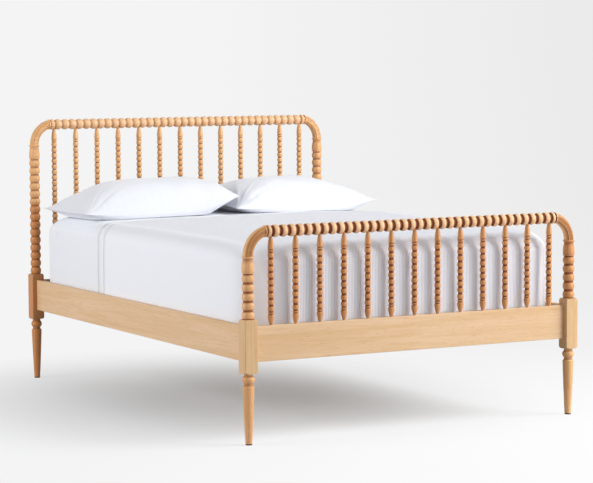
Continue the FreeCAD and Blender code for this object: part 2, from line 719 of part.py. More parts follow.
def build_beam():
    """The centre beam, the stirrups that hold it on the end rails, and their screws."""
    keep(box("centre_beam", "beam_width", "2 * beam_half", "beam_height",
             "-beam_width / 2", "-beam_half", "slat_bottom - beam_height"), "centre_beam")
    gauge = size("stirrup_gauge")
    depth = size("stirrup_depth")
    height = size("beam_height")
    outer = size("beam_width") / 2 + gauge
    low = size("slat_bottom") - height - gauge
    wing = outer + size("stirrup_flange")
    back_y = size("beam_half")
    plate = Part.makeBox(2 * wing, gauge, height + gauge, Vector(-wing, back_y, low))
    shelf = Part.makeBox(2 * outer, depth, gauge, Vector(-outer, back_y - depth, low))
    cheeks = [Part.makeBox(gauge, depth, size("stirrup_cheek"), Vector(x, back_y - depth, low))
              for x in (-outer, outer - gauge)]
    stirrup = plate.fuse([shelf] + cheeks).removeSplitter()
    screws = []
    for side in (-1, 1):
        for share in (0.25, 0.75):
            start = Vector(side * (outer + size("stirrup_flange") / 2), back_y,
                           size("slat_bottom") - share * height)
            screws.append(screw(start, Vector(0, 1, 0), size("stirrup_screw_length")))
    stirrup = stirrup.cut(screws)
    both_ends = [stirrup, stirrup.mirror(Vector(), Vector(0, 1, 0))]
    keep(solid("beam_stirrups", Part.makeCompound(both_ends)), "beam_stirrups")
    screws += [one.mirror(Vector(), Vector(0, 1, 0)) for one in screws]
    keep(solid("stirrup_screws", Part.makeCompound(screws)), "stirrup_screws")


# ---- hardware ----

def screw(start, direction, length):
    """A flat-headed wood screw with its head flush at the start."""
    head = Part.makeCylinder(size("screw_head"), size("screw_flat"), start, direction)
    return head.fuse(Part.makeCylinder(size("screw_radius"), length, start, direction)).removeSplitter()


def build_hooks():
    """Hook plates on the side rails, slotted plates in the posts, and the screws of both."""
    gauge = size("plate_gauge")
    width = size("plate_width")
    height = size("plate_height")
    thick = size("hook_gauge")
    lip = size("hook_lip")
    x = size("plate_x")
    y = size("side_half")
    z = size("plate_centre")
    hook_plate = Part.makeBox(width, gauge, height, Vector(x - width / 2, y - gauge, z - height / 2))
    slotted = Part.makeBox(width, gauge, height, Vector(x - width / 2, y, z - height / 2))
    room = size("hook_room")
    reach = gauge + size("hook_reach")
    for side in (-1, 1):
        low = z + side * size("hook_spacing") / 2 - size("hook_height") / 2
        arm = Part.makeBox(thick, reach + gauge, size("hook_height"), Vector(x - thick / 2, y - gauge, low))
        lip_depth = size("hook_reach") - room
        drop = Part.makeBox(thick, lip_depth, lip, Vector(x - thick / 2, y + reach - lip_depth, low - lip))
        hook_plate = hook_plate.fuse([arm, drop])
        slot = Part.makeBox(thick + 2 * room, gauge, size("hook_height") + lip + room,
                            Vector(x - thick / 2 - room, y, low))
        slotted = slotted.cut(slot)
    screws = []
    for side in (-1, 1):
        start = Vector(x, y, z + side * (height / 2 - size("screw_margin")))
        screws.append(screw(start, Vector(0, -1, 0), size("screw_length")))
        screws.append(screw(start, Vector(0, 1, 0), size("screw_length")))
    hook_plate = hook_plate.removeSplitter().cut(screws)
    slotted = slotted.cut(screws)
    keep(solid("rail_hooks", in_corners(hook_plate)), "rail_hooks")
    keep(solid("post_plates", in_corners(slotted)), "post_plates")
    keep(solid("plate_screws", in_corners(Part.makeCompound(screws))), "plate_screws")


def build_small_parts():
    """Cleat screws, elbow dowels and glides."""
    start_x = -size("rail_face_x") + size("cleat_size")
    level = size("slat_bottom") - size("cleat_size") / 2
    count = int(size("cleat_screws"))
    run = size("side_half") - 2 * size("cleat_margin")
    screws = []
    for number in range(count):
        y = (number - (count - 1) / 2) * 2 * run / (count - 1)
        screws.append(screw(Vector(start_x, y, level), Vector(-1, 0, 0), size("cleat_screw_length")))
    screws += [one.mirror(Vector(), Vector(1, 0, 0)) for one in screws]
    keep(solid("cleat_screws", Part.makeCompound(screws)), "cleat_screws")
    radius = size("dowel_radius")
    length = size("dowel_length")
    dowels = []
    for end, sign in (("head", 1), ("foot", -1)):
        y = sign * size("post_half_y")
        upright = Vector(-size("post_half_x"), y, size(end + "_post_top") - length / 2)
        level_start = Vector(-size("top_half") - length / 2, y, size(end + "_axis"))
        dowels.append(Part.makeCylinder(radius, length, upright))
        dowels.append(Part.makeCylinder(radius, length, level_start, Vector(1, 0, 0)))
    dowels += [one.mirror(Vector(), Vector(1, 0, 0)) for one in dowels]
    keep(solid("elbow_dowels", Part.makeCompound(dowels)), "elbow_dowels")
    foot = Vector(-size("post_half_x"), size("post_half_y"), 0)
    glide = Part.makeCylinder(size("toe_radius"), size("glide_height"), foot)
    under = [edge for edge in glide.Edges if edge.BoundBox.ZMax < 0.01]
    glide = glide.makeChamfer(size("glide_chamfer"), under)
    keep(solid("foot_glides", in_corners(glide)), "foot_glides")


# ---- mattress and bedding ----

def rounded_rectangle(half_x, half_y, corner, height):
    """A level rectangle with rounded corners, as a closed wire."""
    inner_x = half_x - corner
    inner_y = half_y - corner
    edges = []
    for turn in range(4):
        reach, side = ((inner_x, inner_y), (inner_y, inner_x))[turn % 2]
        rotation = FreeCAD.Rotation(Vector(0, 0, 1), 90 * turn)
        slant = corner * math.sqrt(0.5)
        points = [Vector(reach + corner, -side, height), Vector(reach + corner, side, height),
                  Vector(reach + slant, side + slant, height), Vector(reach, side + corner, height)]
        start, end, middle, finish = [rotation.multVec(point) for point in points]
        edges.append(Part.makeLine(start, end))
        edges.append(Part.Arc(end, middle, finish).toShape())
    return Part.Wire(edges)


def mattress_form(grow, bottom):
    """The mattress grown by a thickness all round, from a height upwards: level rounded
    rectangles drawn in along a quarter round at the shoulder and along a low crown above it."""
    half_x = size("mattress_width") / 2
    half_y = size("mattress_length") / 2
    radius = size("mattress_shoulder")
    shoulder = size("slat_top") + size("mattress_height")
    rows = [(-grow, bottom)]
    steps = int(size("shoulder_step_count"))
    for step in range(steps + 1):
        angle = step * math.pi / 2 / steps
        rows.append((radius - (radius + grow) * math.cos(angle),
                     shoulder - radius + (radius + grow) * math.sin(angle)))
    steps = int(size("crown_step_count"))
    for step in range(1, steps + 1):
        share = step / (steps + 1)
        rise = size("mattress_crown") * (1 - (1 - share) ** 2)
        rows.append((radius + share * (half_x - radius), shoulder + rise + grow))
    corner = size("mattress_corner") + grow
    form = Part.makeLoft([rounded_rectangle(half_x - inset, half_y - inset, corner, height)
                          for inset, height in rows], True, True)
    form.translate(Vector(0, size("mattress_middle"), 0))
    return form


def cover(inner, gauge, bottom, head_edge=None):
    """A layer of bedding over the mattress, open below and cut off at a head edge."""
    layer = mattress_form(inner + gauge, bottom).cut([mattress_form(inner, size("rail_bottom"))])
    if head_edge is None:
        return layer
    far = size("post_half_y") * 2
    keep_box = Part.makeBox(far, far + head_edge, far, Vector(-far / 2, -far, 0))
    return layer.common([keep_box])


def build_bedding():
    """The mattress and the three layers over it."""
    gap = size("sheet_gap")
    thin = size("sheet_gauge")
    hem = size("hem_height")
    keep(solid("mattress", mattress_form(0, size("slat_top"))), "mattress")
    low = size("slat_top") + 1
    keep(solid("fitted_sheet", cover(gap, thin, low)), "fitted_sheet")
    second = 2 * gap + thin
    keep(solid("top_sheet", cover(second, thin, hem, size("top_sheet_edge"))), "top_sheet")
    third = second + thin + gap
    keep(solid("coverlet", cover(third, size("coverlet_gauge"), hem, size("coverlet_edge"))), "coverlet")


def pillow_section(x, depth, rise, drop, middle_y, seam):
    """A lens across a pillow: an upper and a lower arc that meet at the seam."""
    front = Vector(x, middle_y - depth / 2, seam)
    back = Vector(x, middle_y + depth / 2, seam)
    upper = Part.Arc(front, Vector(x, middle_y, seam + rise), back).toShape()
    lower = Part.Arc(back, Vector(x, middle_y, seam - drop), front).toShape()
    return Part.Wire([upper, lower])


def pillow_form(middle_x):
    """A pillow lofted across the bed: thin ends, a crowned middle and drawn-in long sides."""
    half = size("pillow_width") / 2
    middle_y = size("pillow_head") - size("pillow_depth") / 2
    seam = size("bed_top") + size("pillow_belly") - size("pillow_sink")
    stations = [(1.0, 0.06), (0.93, 0.36), (0.72, 0.76), (0.38, 0.96), (0.0, 1.0)]
    sides = [(-place_x, fullness) for place_x, fullness in stations]
    sides += [(place_x, fullness) for place_x, fullness in reversed(stations[:-1])]
    sections = []
    for place_x, fullness in sides:
        depth = size("pillow_depth") - 2 * size("pillow_waist") * (1 - place_x ** 2)
        sections.append(pillow_section(middle_x + place_x * half, depth, size("pillow_crown") * fullness,
                                       size("pillow_belly") * fullness, middle_y, seam))
    return Part.makeLoft(sections, True, False)


def build_pillows():
    """Two pillows side by side."""
    middle = (size("pillow_width") + size("pillow_gap")) / 2
    keep(solid("pillow_left", pillow_form(-middle)), "pillow_left")
    keep(solid("pillow_right", pillow_form(middle)), "pillow_right")


# ---- the whole bed ----

def build_bed():
    """Builds every piece in order."""
    fill_sheet()
    for end, flip in (("head", ""), ("foot", "-")):
        build_posts(end, flip)
        build_elbows(end, flip)
        build_top_rail(end, flip)
        build_lower_rail(end, flip)
        build_spindles(end, flip)
    build_side_rails()
    build_slats()
    build_beam()
    build_hooks()
    build_small_parts()
    build_bedding()
    build_pillows()
    doc.recompute()


def write_parts():
    """Checks every object and writes each piece to its own file."""
    for item in doc.Objects:
        checked(item)
    for item in parts:
        if item.Shape.isNull() or not item.Shape.isValid():
            raise RuntimeError("%s isn't a valid solid" % item.Label)
    os.makedirs("parts", exist_ok=True)
    for item in parts:
        item.Shape.exportStep("parts/%s.step" % item.Label)
        low = item.Shape.BoundBox
        print("%-22s %3d solid(s) %12.0f mm3  x %8.1f %8.1f  y %8.1f %8.1f  z %8.1f %8.1f" % (
            item.Label, len(item.Shape.Solids), item.Shape.Volume,
            low.XMin, low.XMax, low.YMin, low.YMax, low.ZMin, low.ZMax))


build_bed()
write_parts()
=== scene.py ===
"""Looks of a spindle bed: turned maple posts, rails and spindles, made bed and two pillows.

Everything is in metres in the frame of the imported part: x across the bed, +Y towards the head,
+Z up, the floor at zero. Turned pieces and bedding are surfaces worked out with numpy; straight
rails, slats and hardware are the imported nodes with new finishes.
"""
from __future__ import annotations

import logging
import math
from dataclasses import dataclass
from enum import Enum

import bmesh
import bpy
import numpy as np
from mathutils import Matrix

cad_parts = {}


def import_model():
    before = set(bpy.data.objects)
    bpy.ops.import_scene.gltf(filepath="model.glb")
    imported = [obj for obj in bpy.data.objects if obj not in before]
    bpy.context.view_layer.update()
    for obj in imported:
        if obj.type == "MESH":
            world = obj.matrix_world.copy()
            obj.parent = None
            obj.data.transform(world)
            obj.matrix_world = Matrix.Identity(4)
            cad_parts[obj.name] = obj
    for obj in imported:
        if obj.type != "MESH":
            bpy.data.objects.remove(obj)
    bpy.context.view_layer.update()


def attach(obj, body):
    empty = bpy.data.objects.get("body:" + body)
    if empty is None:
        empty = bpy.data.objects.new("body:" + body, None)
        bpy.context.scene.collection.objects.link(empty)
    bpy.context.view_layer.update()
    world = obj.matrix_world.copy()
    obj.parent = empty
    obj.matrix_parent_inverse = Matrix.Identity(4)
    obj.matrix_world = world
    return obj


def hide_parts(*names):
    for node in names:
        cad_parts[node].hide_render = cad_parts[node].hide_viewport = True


LOG = logging.getLogger("spindle_bed")
MM = 0.001
QUARTER = math.pi / 2
IMAGE_WIDTH = 593
ALL_SMOOTH = 180.0  # no angle between two faces is sharper than this many degrees
NO_FACES = np.zeros((0, 3), int)
SURFACE_IOR = 1.45  # of lacquer, and near enough of cotton

Material = bpy.types.Material
Materials = dict[str, bpy.types.Material]
Object = bpy.types.Object
Socket = bpy.types.NodeSocket
Tree = bpy.types.NodeTree


class Axis(Enum):
    """Which way a turned piece or the grain of a board runs."""

    ACROSS = 0
    ALONG = 1
    UP = 2


class End(Enum):
    """The two ends of the bed, with the sign of their place on the y axis."""

    HEAD = 1
    FOOT = -1

    @property
    def word(self) -> str:
        """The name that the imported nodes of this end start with."""
        return self.name.lower()

    def of(self, pair: tuple) -> float:
        """The head's or the foot's value of a pair that gives both, the head's first."""
        return pair[0] if self is End.HEAD else pair[1]


class Side(Enum):
    """The two sides of the bed, with the sign of their place on the x axis."""

    LEFT = -1
    RIGHT = 1

    @property
    def word(self) -> str:
        """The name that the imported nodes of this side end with."""
        return self.name.lower()


# ---- meshes ----


@dataclass
class Patch:
    """A surface: its points, its faces and what a finish reads at each point.

    The flow gives flat cloth coordinates. The three marks tell a wood finish where to paint shade,
    which on turnings is how hollow they are, whether a face is planed, and how much deeper its tone
    is: riper wood on some pieces and painted shade low on the left head post.
    """

    points: np.ndarray
    quads: np.ndarray
    triangles: np.ndarray
    flow: np.ndarray | None = None
    hollow: np.ndarray | None = None
    planed: np.ndarray | None = None
    tone: np.ndarray | None = None

    def volume(self) -> float:
        """Six times the signed volume that the faces enclose, as seen from their middle.

        Returns:
            The volume, below zero where the surface is inside out.
        """
        points = self.points - self.points.mean(0)
        corners = [self.quads[:, [0, 1, 2]], self.quads[:, [0, 2, 3]], self.triangles]
        faces = np.concatenate([part for part in corners if len(part)])
        one, two, three = (points[faces[:, side]] for side in range(3))
        return float((one * np.cross(two, three)).sum())

    def outward(self) -> "Patch":
        """Turns every face round if the surface is inside out.

        Returns:
            The surface itself.
        """
        if self.volume() < 0:
            self.quads = self.quads[:, ::-1]
            self.triangles = self.triangles[:, ::-1]
        return self

    def to_object(self, name: str, finish: Material, sharp: float = 35.0) -> Object:
        """Puts the surface into a Blender object at the origin.

        Args:
            name: the piece's name.
            finish: its material.
            sharp: faces that meet at more than this many degrees keep a crisp edge.

        Returns:
            The new object, linked to the scene.
        """
        mesh = bpy.data.meshes.new(name)
        loops = np.concatenate([self.quads.ravel(), self.triangles.ravel()]).astype(np.int32)
        sizes = np.concatenate([np.full(len(self.quads), 4), np.full(len(self.triangles), 3)])
        starts = np.concatenate([[0], np.cumsum(sizes)[:-1]]).astype(np.int32)
        mesh.vertices.add(len(self.points))
        mesh.vertices.foreach_set("co", self.points.astype(np.float32).ravel())
        mesh.loops.add(len(loops))
        mesh.loops.foreach_set("vertex_index", loops)
        mesh.polygons.add(len(sizes))
        mesh.polygons.foreach_set("loop_start", starts)
        mesh.update(calc_edges=True)
        if self.flow is not None:
            layer = mesh.uv_layers.new(name="flow")
            layer.data.foreach_set("uv", self.flow[loops].astype(np.float32).ravel())
        for word in ("hollow", "planed", "tone"):
            values = getattr(self, word)
            if values is not None:
                mark = mesh.attributes.new(word, "FLOAT", "POINT")
                mark.data.foreach_set("value", values.astype(np.float32))
        mesh.shade_smooth()
        mesh.set_sharp_from_angle(angle=math.radians(sharp))
        mesh.materials.append(finish)
        piece = bpy.data.objects.new(name, mesh)
        bpy.context.scene.collection.objects.link(piece)
        return piece


def grid(rows: int, columns: int, round_columns: bool = False) -> np.ndarray:
    """Four-cornered faces between the neighbours of a grid of points.

    Args:
        rows: rows of points.
        columns: points in a row.
        round_columns: whether the last column joins the first.

    Returns:
        An array of faces, four point numbers each.
    """
    row = np.arange(rows - 1)[:, None] * columns
    column = np.arange(columns if round_columns else columns - 1)[None, :]
    after = (column + 1) % columns
    corners = [row + column, row + after, row + columns + after, row + columns + column]
    return np.stack(corners, -1).reshape(-1, 4)


def eased(share: np.ndarray) -> np.ndarray:
    """A share from zero to one that leaves and arrives gently."""
    return share ** 2 * (3 - 2 * share)


def arc_through(start: tuple, middle: tuple, end: tuple, steps: int) -> np.ndarray:
    """Points on the circle through three points, from the first to the last.

    Args:
        start: first point as radius and height.
        middle: a point between.
        end: last point.
        steps: how many points to give, without the first.

    Returns:
        The points as an array of pairs.
    """
    one, two, three = (np.array(point, float) for point in (start, middle, end))
    chords = 2 * np.array([two - one, three - two])
    if abs(np.linalg.det(chords)) < 1e-14:
        return one + (three - one) * np.linspace(0, 1, steps + 1)[1:, None]
    centre = np.linalg.solve(chords, [two @ two - one @ one, three @ three - two @ two])
    angles = [math.atan2(*(point - centre)[::-1]) for point in (one, two, three)]
    turn = (angles[2] - angles[0]) % math.tau
    if (angles[1] - angles[0]) % math.tau > turn:
        turn -= math.tau
    swept = angles[0] + turn * np.linspace(0, 1, steps + 1)[1:]
    reach = np.linalg.norm(one - centre)
    return centre + reach * np.stack([np.cos(swept), np.sin(swept)], 1)


class Outline:
    """The outline of a turned piece as radius against height, built from its lower end."""

    def __init__(self, radius: float, level: float) -> None:
        """Starts the outline at a radius and a height."""
        self.runs = [np.array([[radius, level]])]

    @property
    def last(self) -> tuple[float, float]:
        """Where the outline has got to."""
        return tuple(self.runs[-1][-1])

    def to(self, radius: float, level: float) -> "Outline":
        """Runs straight to a radius at a height."""
        self.runs.append(np.array([[radius, level]]))
        return self

    def swell(self, widest: float, radius: float, level: float, steps: int = 10) -> "Outline":
        """Runs along an arc that passes a widest radius at half its height.

        Args:
            widest: the radius at half the height of the arc.
            radius: where the arc ends.
            level: the height where it ends.
            steps: how many points it has.

        Returns:
            The outline itself.
        """
        middle = (widest, (self.last[1] + level) / 2)
        self.runs.append(arc_through(self.last, middle, (radius, level), steps))
        return self

    def beads(self, count: int, pitch: float, gap: float, bead: float, groove: float) -> "Outline":
        """A row of equal beads: each is one arc, repeated a pitch further on by whole arrays.

        Args:
            count: number of beads.
            pitch: one bead with its groove.
            gap: width of the groove after each bead.
            bead: widest radius.
            groove: radius of the groove, hollowed a little at its middle.

        Returns:
            The outline itself.
        """
        level = self.last[1]
        one = arc_through((groove, 0.0), (bead, (pitch - gap) / 2), (groove, pitch - gap), 12)
        sag = 0.12 * gap
        hollow = [(groove - sag, pitch - gap / 2), (groove, pitch)] if gap > MM else []
        form = np.concatenate([one, np.array(hollow).reshape(-1, 2)])
        lifts = np.stack([np.zeros(count), level + pitch * np.arange(count)], 1)
        self.runs.append((form[None] + lifts[:, None]).reshape(-1, 2))
        return self

    def follow(self, turnings: tuple[tuple, ...], level: float) -> "Outline":
        """Runs through a table of turnings, in millimetres.

        Args:
            turnings: rows of a radius and a height, which give a straight run, and for an arc
                also its widest radius and its number of steps.
            level: where the heights are measured from.

        Returns:
            The outline itself.
        """
        for radius, height, *arc in turnings:
            if arc:
                self.swell(arc[0] * MM, radius * MM, level + height * MM, arc[1])
            else:
                self.to(radius * MM, level + height * MM)
        return self

    def array(self) -> np.ndarray:
        """All points of the outline."""
        return np.concatenate(self.runs)


def tube(points: np.ndarray, columns: int, hollow: np.ndarray) -> Patch:
    """Rings of points joined into a closed surface, with a fan of triangles over each end.

    Args:
        points: the points, ring after ring.
        columns: points in a ring.
        hollow: the painted shade mark at each point, how hollow the surface is there.

    Returns:
        The surface, its faces turned outwards.
    """
    ends = np.array([points[:columns].mean(0), points[-columns:].mean(0)])
    count = len(points)
    column = np.arange(columns)
    after = (column + 1) % columns
    last = count - columns
    caps = np.concatenate([
        np.stack([after, column, np.full(columns, count)], 1),
        np.stack([last + column, last + after, np.full(columns, count + 1)], 1),
    ])
    quads = grid(count // columns, columns, round_columns=True)
    marks = np.concatenate([hollow, [0, 0]])
    return Patch(np.concatenate([points, ends]), quads, caps, hollow=marks).outward()


def turned(outline: np.ndarray, centre: tuple, axis: Axis, around: np.ndarray,
           limit: np.ndarray | None = None, deepest: float = 3.2 * MM,
           reach: float = 22 * MM, shallow: float = 0.3) -> Patch:
    """A surface of revolution: at angle a and height h the point stands off the axis by the
    outline's radius at h, or by the limit at a where that is less, as on a squared block.

    Args:
        outline: radius and height of each row, from one end to the other.
        centre: a point on the axis, where the outline's height is zero.
        axis: the direction of the axis.
        around: the angles of the columns in radians.
        limit: the most that each column may stand off the axis.
        deepest: how far below the wider turnings on both sides counts as a full hollow.
        reach: how near those turnings must be.
        shallow: the share of that depth that doesn't count as hollow yet.

    Returns:
        The closed surface, with how deep each point lies below its neighbourhood.
    """
    radius = np.repeat(outline[:, :1], len(around), 1)
    if limit is not None:
        radius = np.minimum(radius, limit[None, :])
    height = np.repeat(outline[:, 1:], len(around), 1)
    one, two = radius * np.cos(around)[None, :], radius * np.sin(around)[None, :]
    parts = {Axis.UP: (one, two, height), Axis.ACROSS: (height, one, two)}[axis]
    points = np.stack(parts, -1).reshape(-1, 3) + np.array(centre)
    apart = outline[:, 1][:, None] - outline[:, 1][None, :]
    before = np.where((apart >= 0) & (apart < reach), outline[None, :, 0], 0).max(1)
    beyond = np.where((apart <= 0) & (apart > -reach), outline[None, :, 0], 0).max(1)
    depth = (np.minimum(before, beyond) - outline[:, 0]) / deepest
    hollow = eased(np.clip(depth - shallow, 0, 1))
    return tube(points, len(around), np.repeat(hollow, len(around)))


def even_turn(count: int) -> np.ndarray:
    """Evenly spaced angles round a full circle."""
    return np.arange(count) * math.tau / count


def mirrored(patch: Patch) -> Patch:
    """The surface on the other side of the bed's middle plane."""
    return Patch(patch.points * np.array([-1, 1, 1]), patch.quads, patch.triangles,
                 patch.flow, patch.hollow).outward()


def ripple(places: np.ndarray, length: float, seed: int) -> np.ndarray:
    """Soft unevenness from -1 to 1: the mean of eight sine waves in different directions.

    Args:
        places: points as an array of rows of coordinates.
        length: usual distance between two crests.
        seed: a number that settles directions and phases.

    Returns:
        One value for each point.
    """
    chance = np.random.default_rng(seed)
    ways = chance.normal(size=(8, places.shape[-1]))
    ways /= np.linalg.norm(ways, axis=1, keepdims=True)
    ways *= math.tau / (length * chance.uniform(0.7, 1.5, (8, 1)))
    phases = chance.uniform(0, math.tau, 8)
    return np.sin(places @ ways.T + phases).mean(-1) * 1.8


# ---- finishes ----


def linear(code: str) -> tuple[float, float, float, float]:
    """An sRGB hex colour as the linear values that a shader takes.

    Args:
        code: the colour as #RRGGBB.

    Returns:
        Red, green, blue and an alpha of one.
    """
    parts = [int(code[start:start + 2], 16) / 255 for start in (1, 3, 5)]
    return (*[part / 12.92 if part <= 0.04045 else ((part + 0.055) / 1.055) ** 2.4
              for part in parts], 1.0)


def add(tree: Tree, kind: str, inputs: dict | None = None, **settings) -> bpy.types.Node:
    """Adds a node, its settings, its values and its links.

    Args:
        tree: the node tree to add to.
        kind: Blender's name of the node type.
        inputs: socket names or numbers with a value, or with another node's output to link.
        settings: properties of the node.

    Returns:
        The new node.
    """
    made = tree.nodes.new(kind)
    for name, value in settings.items():
        setattr(made, name, value)
    for socket, value in (inputs or {}).items():
        if isinstance(value, bpy.types.NodeSocket):
            tree.links.new(value, made.inputs[socket])
        else:
            made.inputs[socket].default_value = value
    return made


def new_material(name: str) -> tuple[Material, Tree]:
    """An empty node material and its nodes.

    Args:
        name: its name.

    Returns:
        The material and its node tree.
    """
    material = bpy.data.materials.new(name)
    material.use_nodes = True
    material.node_tree.nodes.clear()
    return material, material.node_tree


def shade_with(tree: Tree, shader: bpy.types.Node) -> None:
    """Links a shader to the material's output."""
    add(tree, "ShaderNodeOutputMaterial", {"Surface": shader.outputs[0]})


def place_in(tree: Tree) -> Socket:
    """The place of a point in the object's own frame."""
    return add(tree, "ShaderNodeTexCoord").outputs["Object"]


def mark(tree: Tree, name: str) -> Socket:
    """What the surface carries at each point under that name."""
    return add(tree, "ShaderNodeAttribute", attribute_name=name).outputs["Fac"]


def maths(tree: Tree, operation: str, *values: Socket | float) -> Socket:
    """The outcome of one operation on one, two or three values."""
    return add(tree, "ShaderNodeMath", dict(enumerate(values)), operation=operation).outputs[0]


def times(tree: Tree, one: Socket, other: Socket | float) -> Socket:
    """The product of two values."""
    return maths(tree, "MULTIPLY", one, other)


def noise(tree: Tree, place: Socket, scale: float, **inputs: float) -> Socket:
    """Soft cloudy values from zero to one, with that many clouds to a metre."""
    return add(tree, "ShaderNodeTexNoise",
               {"Vector": place, "Scale": scale, **inputs}).outputs["Fac"]


def ramp(tree: Tree, value: Socket, low: float, high: float, first: float = 0.0,
         last: float = 1.0, kind: str = "LINEAR") -> Socket:
    """Stretches a value over a new span and keeps it there.

    Args:
        tree: the material's nodes.
        value: the value.
        low: what becomes first.
        high: what becomes last.
        first: the outcome at and below low.
        last: the outcome at and above high.
        kind: how the value runs between, by Blender's name.

    Returns:
        The outcome.
    """
    return add(tree, "ShaderNodeMapRange", {
        "Value": value, "From Min": low, "From Max": high, "To Min": first, "To Max": last,
    }, interpolation_type=kind).outputs["Result"]


def bump(tree: Tree, height: Socket, strength: Socket | float, distance: float,
         **inputs: Socket) -> Socket:
    """A normal that leans as if the surface rose by the height times the distance."""
    return add(tree, "ShaderNodeBump", {"Height": height, "Strength": strength,
                                        "Distance": distance, **inputs}).outputs[0]


def blend(tree: Tree, share: Socket | float, first: Socket | str, second: Socket | str) -> Socket:
    """Mixes two colours.

    Args:
        tree: the material's nodes.
        share: how much of the second colour the mix has.
        first: a hex code or a socket.
        second: a hex code or a socket.

    Returns:
        The mix.
    """
    first, second = (linear(end) if isinstance(end, str) else end for end in (first, second))
    return add(tree, "ShaderNodeMix", {0: share, 6: first, 7: second},
               data_type="RGBA").outputs[2]


@dataclass(frozen=True)
class WoodFinish:
    """Solid maple, planed or turned, under a clear satin lacquer.

    Maple is diffuse-porous: a quiet, even ground with long soft growth bands, hair-fine grain
    lines and scattered short flecks. Lacquer gives it a low gloss. Shade is painted in: where the
    hollow mark says, in turned grooves and on the elbows' facets and arrises, the colour is pulled
    towards the groove colour and the gloss is lowered; the tone mark pulls it towards the ripe
    colour, riper wood on some pieces and painted shade low on the left head post.
    """

    name: str
    grain: Axis
    pale: str = "#E0BF9A"
    honey: str = "#D4AD80"
    deep: str = "#B58350"
    # groove: the colour of the painted shade in grooves and on the elbows' facets and arrises
    groove: str = "#7A3A12"
    fleck: str = "#B06A38"
    band_mm: float = 26.0
    run_mm: float = 520.0
    roughness: float = 0.42
    coat: float = 0.12
    # how much of the groove colour a full hollow mark takes, as painted shade
    groove_shade_share: float = 0.85
    # deeper tone of riper pieces, and painted shade low on the left head post
    ripe_and_shade: str = "#B05E18"
    planed_pale: str = "#D9B78C"
    planed_honey: str = "#CEA676"
    band_span: tuple[float, float] = (0.30, 0.75)
    line_mm: tuple[float, float] = (1.6, 90.0)
    line_span: tuple[float, float] = (0.45, 0.80)
    line_share: float = 0.34
    fleck_mm: tuple[float, float] = (2.4, 30.0)
    fleck_span: tuple[float, float] = (0.62, 0.78)
    fleck_share: float = 0.36
    sheen: float = 0.26
    # gloss where the painted groove shade is full
    groove_sheen: float = 0.02

    def field(self, tree: Tree, across_mm: float, along_mm: float, detail: float,
              distortion: float = 0.0) -> Socket:
        """Noise drawn out along the grain.

        Args:
            tree: the material's nodes.
            across_mm: its size across the grain.
            along_mm: its size along the grain.
            detail: octaves of finer noise.
            distortion: how far it is pulled out of line.

        Returns:
            The noise's value.
        """
        scale = [1 / (across_mm * MM)] * 3
        scale[self.grain.value] = 1 / (along_mm * MM)
        drawn = add(tree, "ShaderNodeMapping", {"Vector": place_in(tree), "Scale": scale})
        return noise(tree, drawn.outputs[0], 1.0, Detail=detail, Distortion=distortion)

    def build(self) -> Material:
        """Makes the material: ground, riper tone with painted post shade, grain lines, flecks and
        painted groove shade in turn.

        Returns:
            The material.
        """
        material, tree = new_material(self.name)
        bands = self.field(tree, self.band_mm, self.run_mm, detail=3.0, distortion=0.6)
        bands = ramp(tree, bands, *self.band_span)
        lines = self.field(tree, *self.line_mm, detail=2.0, distortion=0.2)
        flecks = self.field(tree, *self.fleck_mm, detail=1.0)
        hollow = mark(tree, "hollow")
        ground = blend(tree, mark(tree, "planed"), blend(tree, bands, self.pale, self.honey),
                       blend(tree, bands, self.planed_pale, self.planed_honey))
        # the tone mark deepens the ground: riper wood, and painted shade low on the left head post;
        # the hollow mark paints shade in grooves and on elbow facets
        for share, colour in (
                (mark(tree, "tone"), self.ripe_and_shade),
                (times(tree, ramp(tree, lines, *self.line_span), self.line_share), self.deep),
                (times(tree, ramp(tree, flecks, *self.fleck_span), self.fleck_share), self.fleck),
                (times(tree, hollow, self.groove_shade_share), self.groove)):
            ground = blend(tree, share, ground, colour)
        shade_with(tree, add(tree, "ShaderNodeBsdfPrincipled", {
            "Base Color": ground, "IOR": SURFACE_IOR, "Coat Weight": self.coat,
            "Coat Roughness": 0.18,
            "Roughness": ramp(tree, lines, 0, 1, self.roughness - 0.05, self.roughness + 0.12),
            # the gloss drops where the painted groove shade is
            "Specular IOR Level": ramp(tree, hollow, 0, 1, self.sheen, self.groove_sheen),
            "Normal": bump(tree, lines, 0.12, 0.2 * MM)}))
        return material


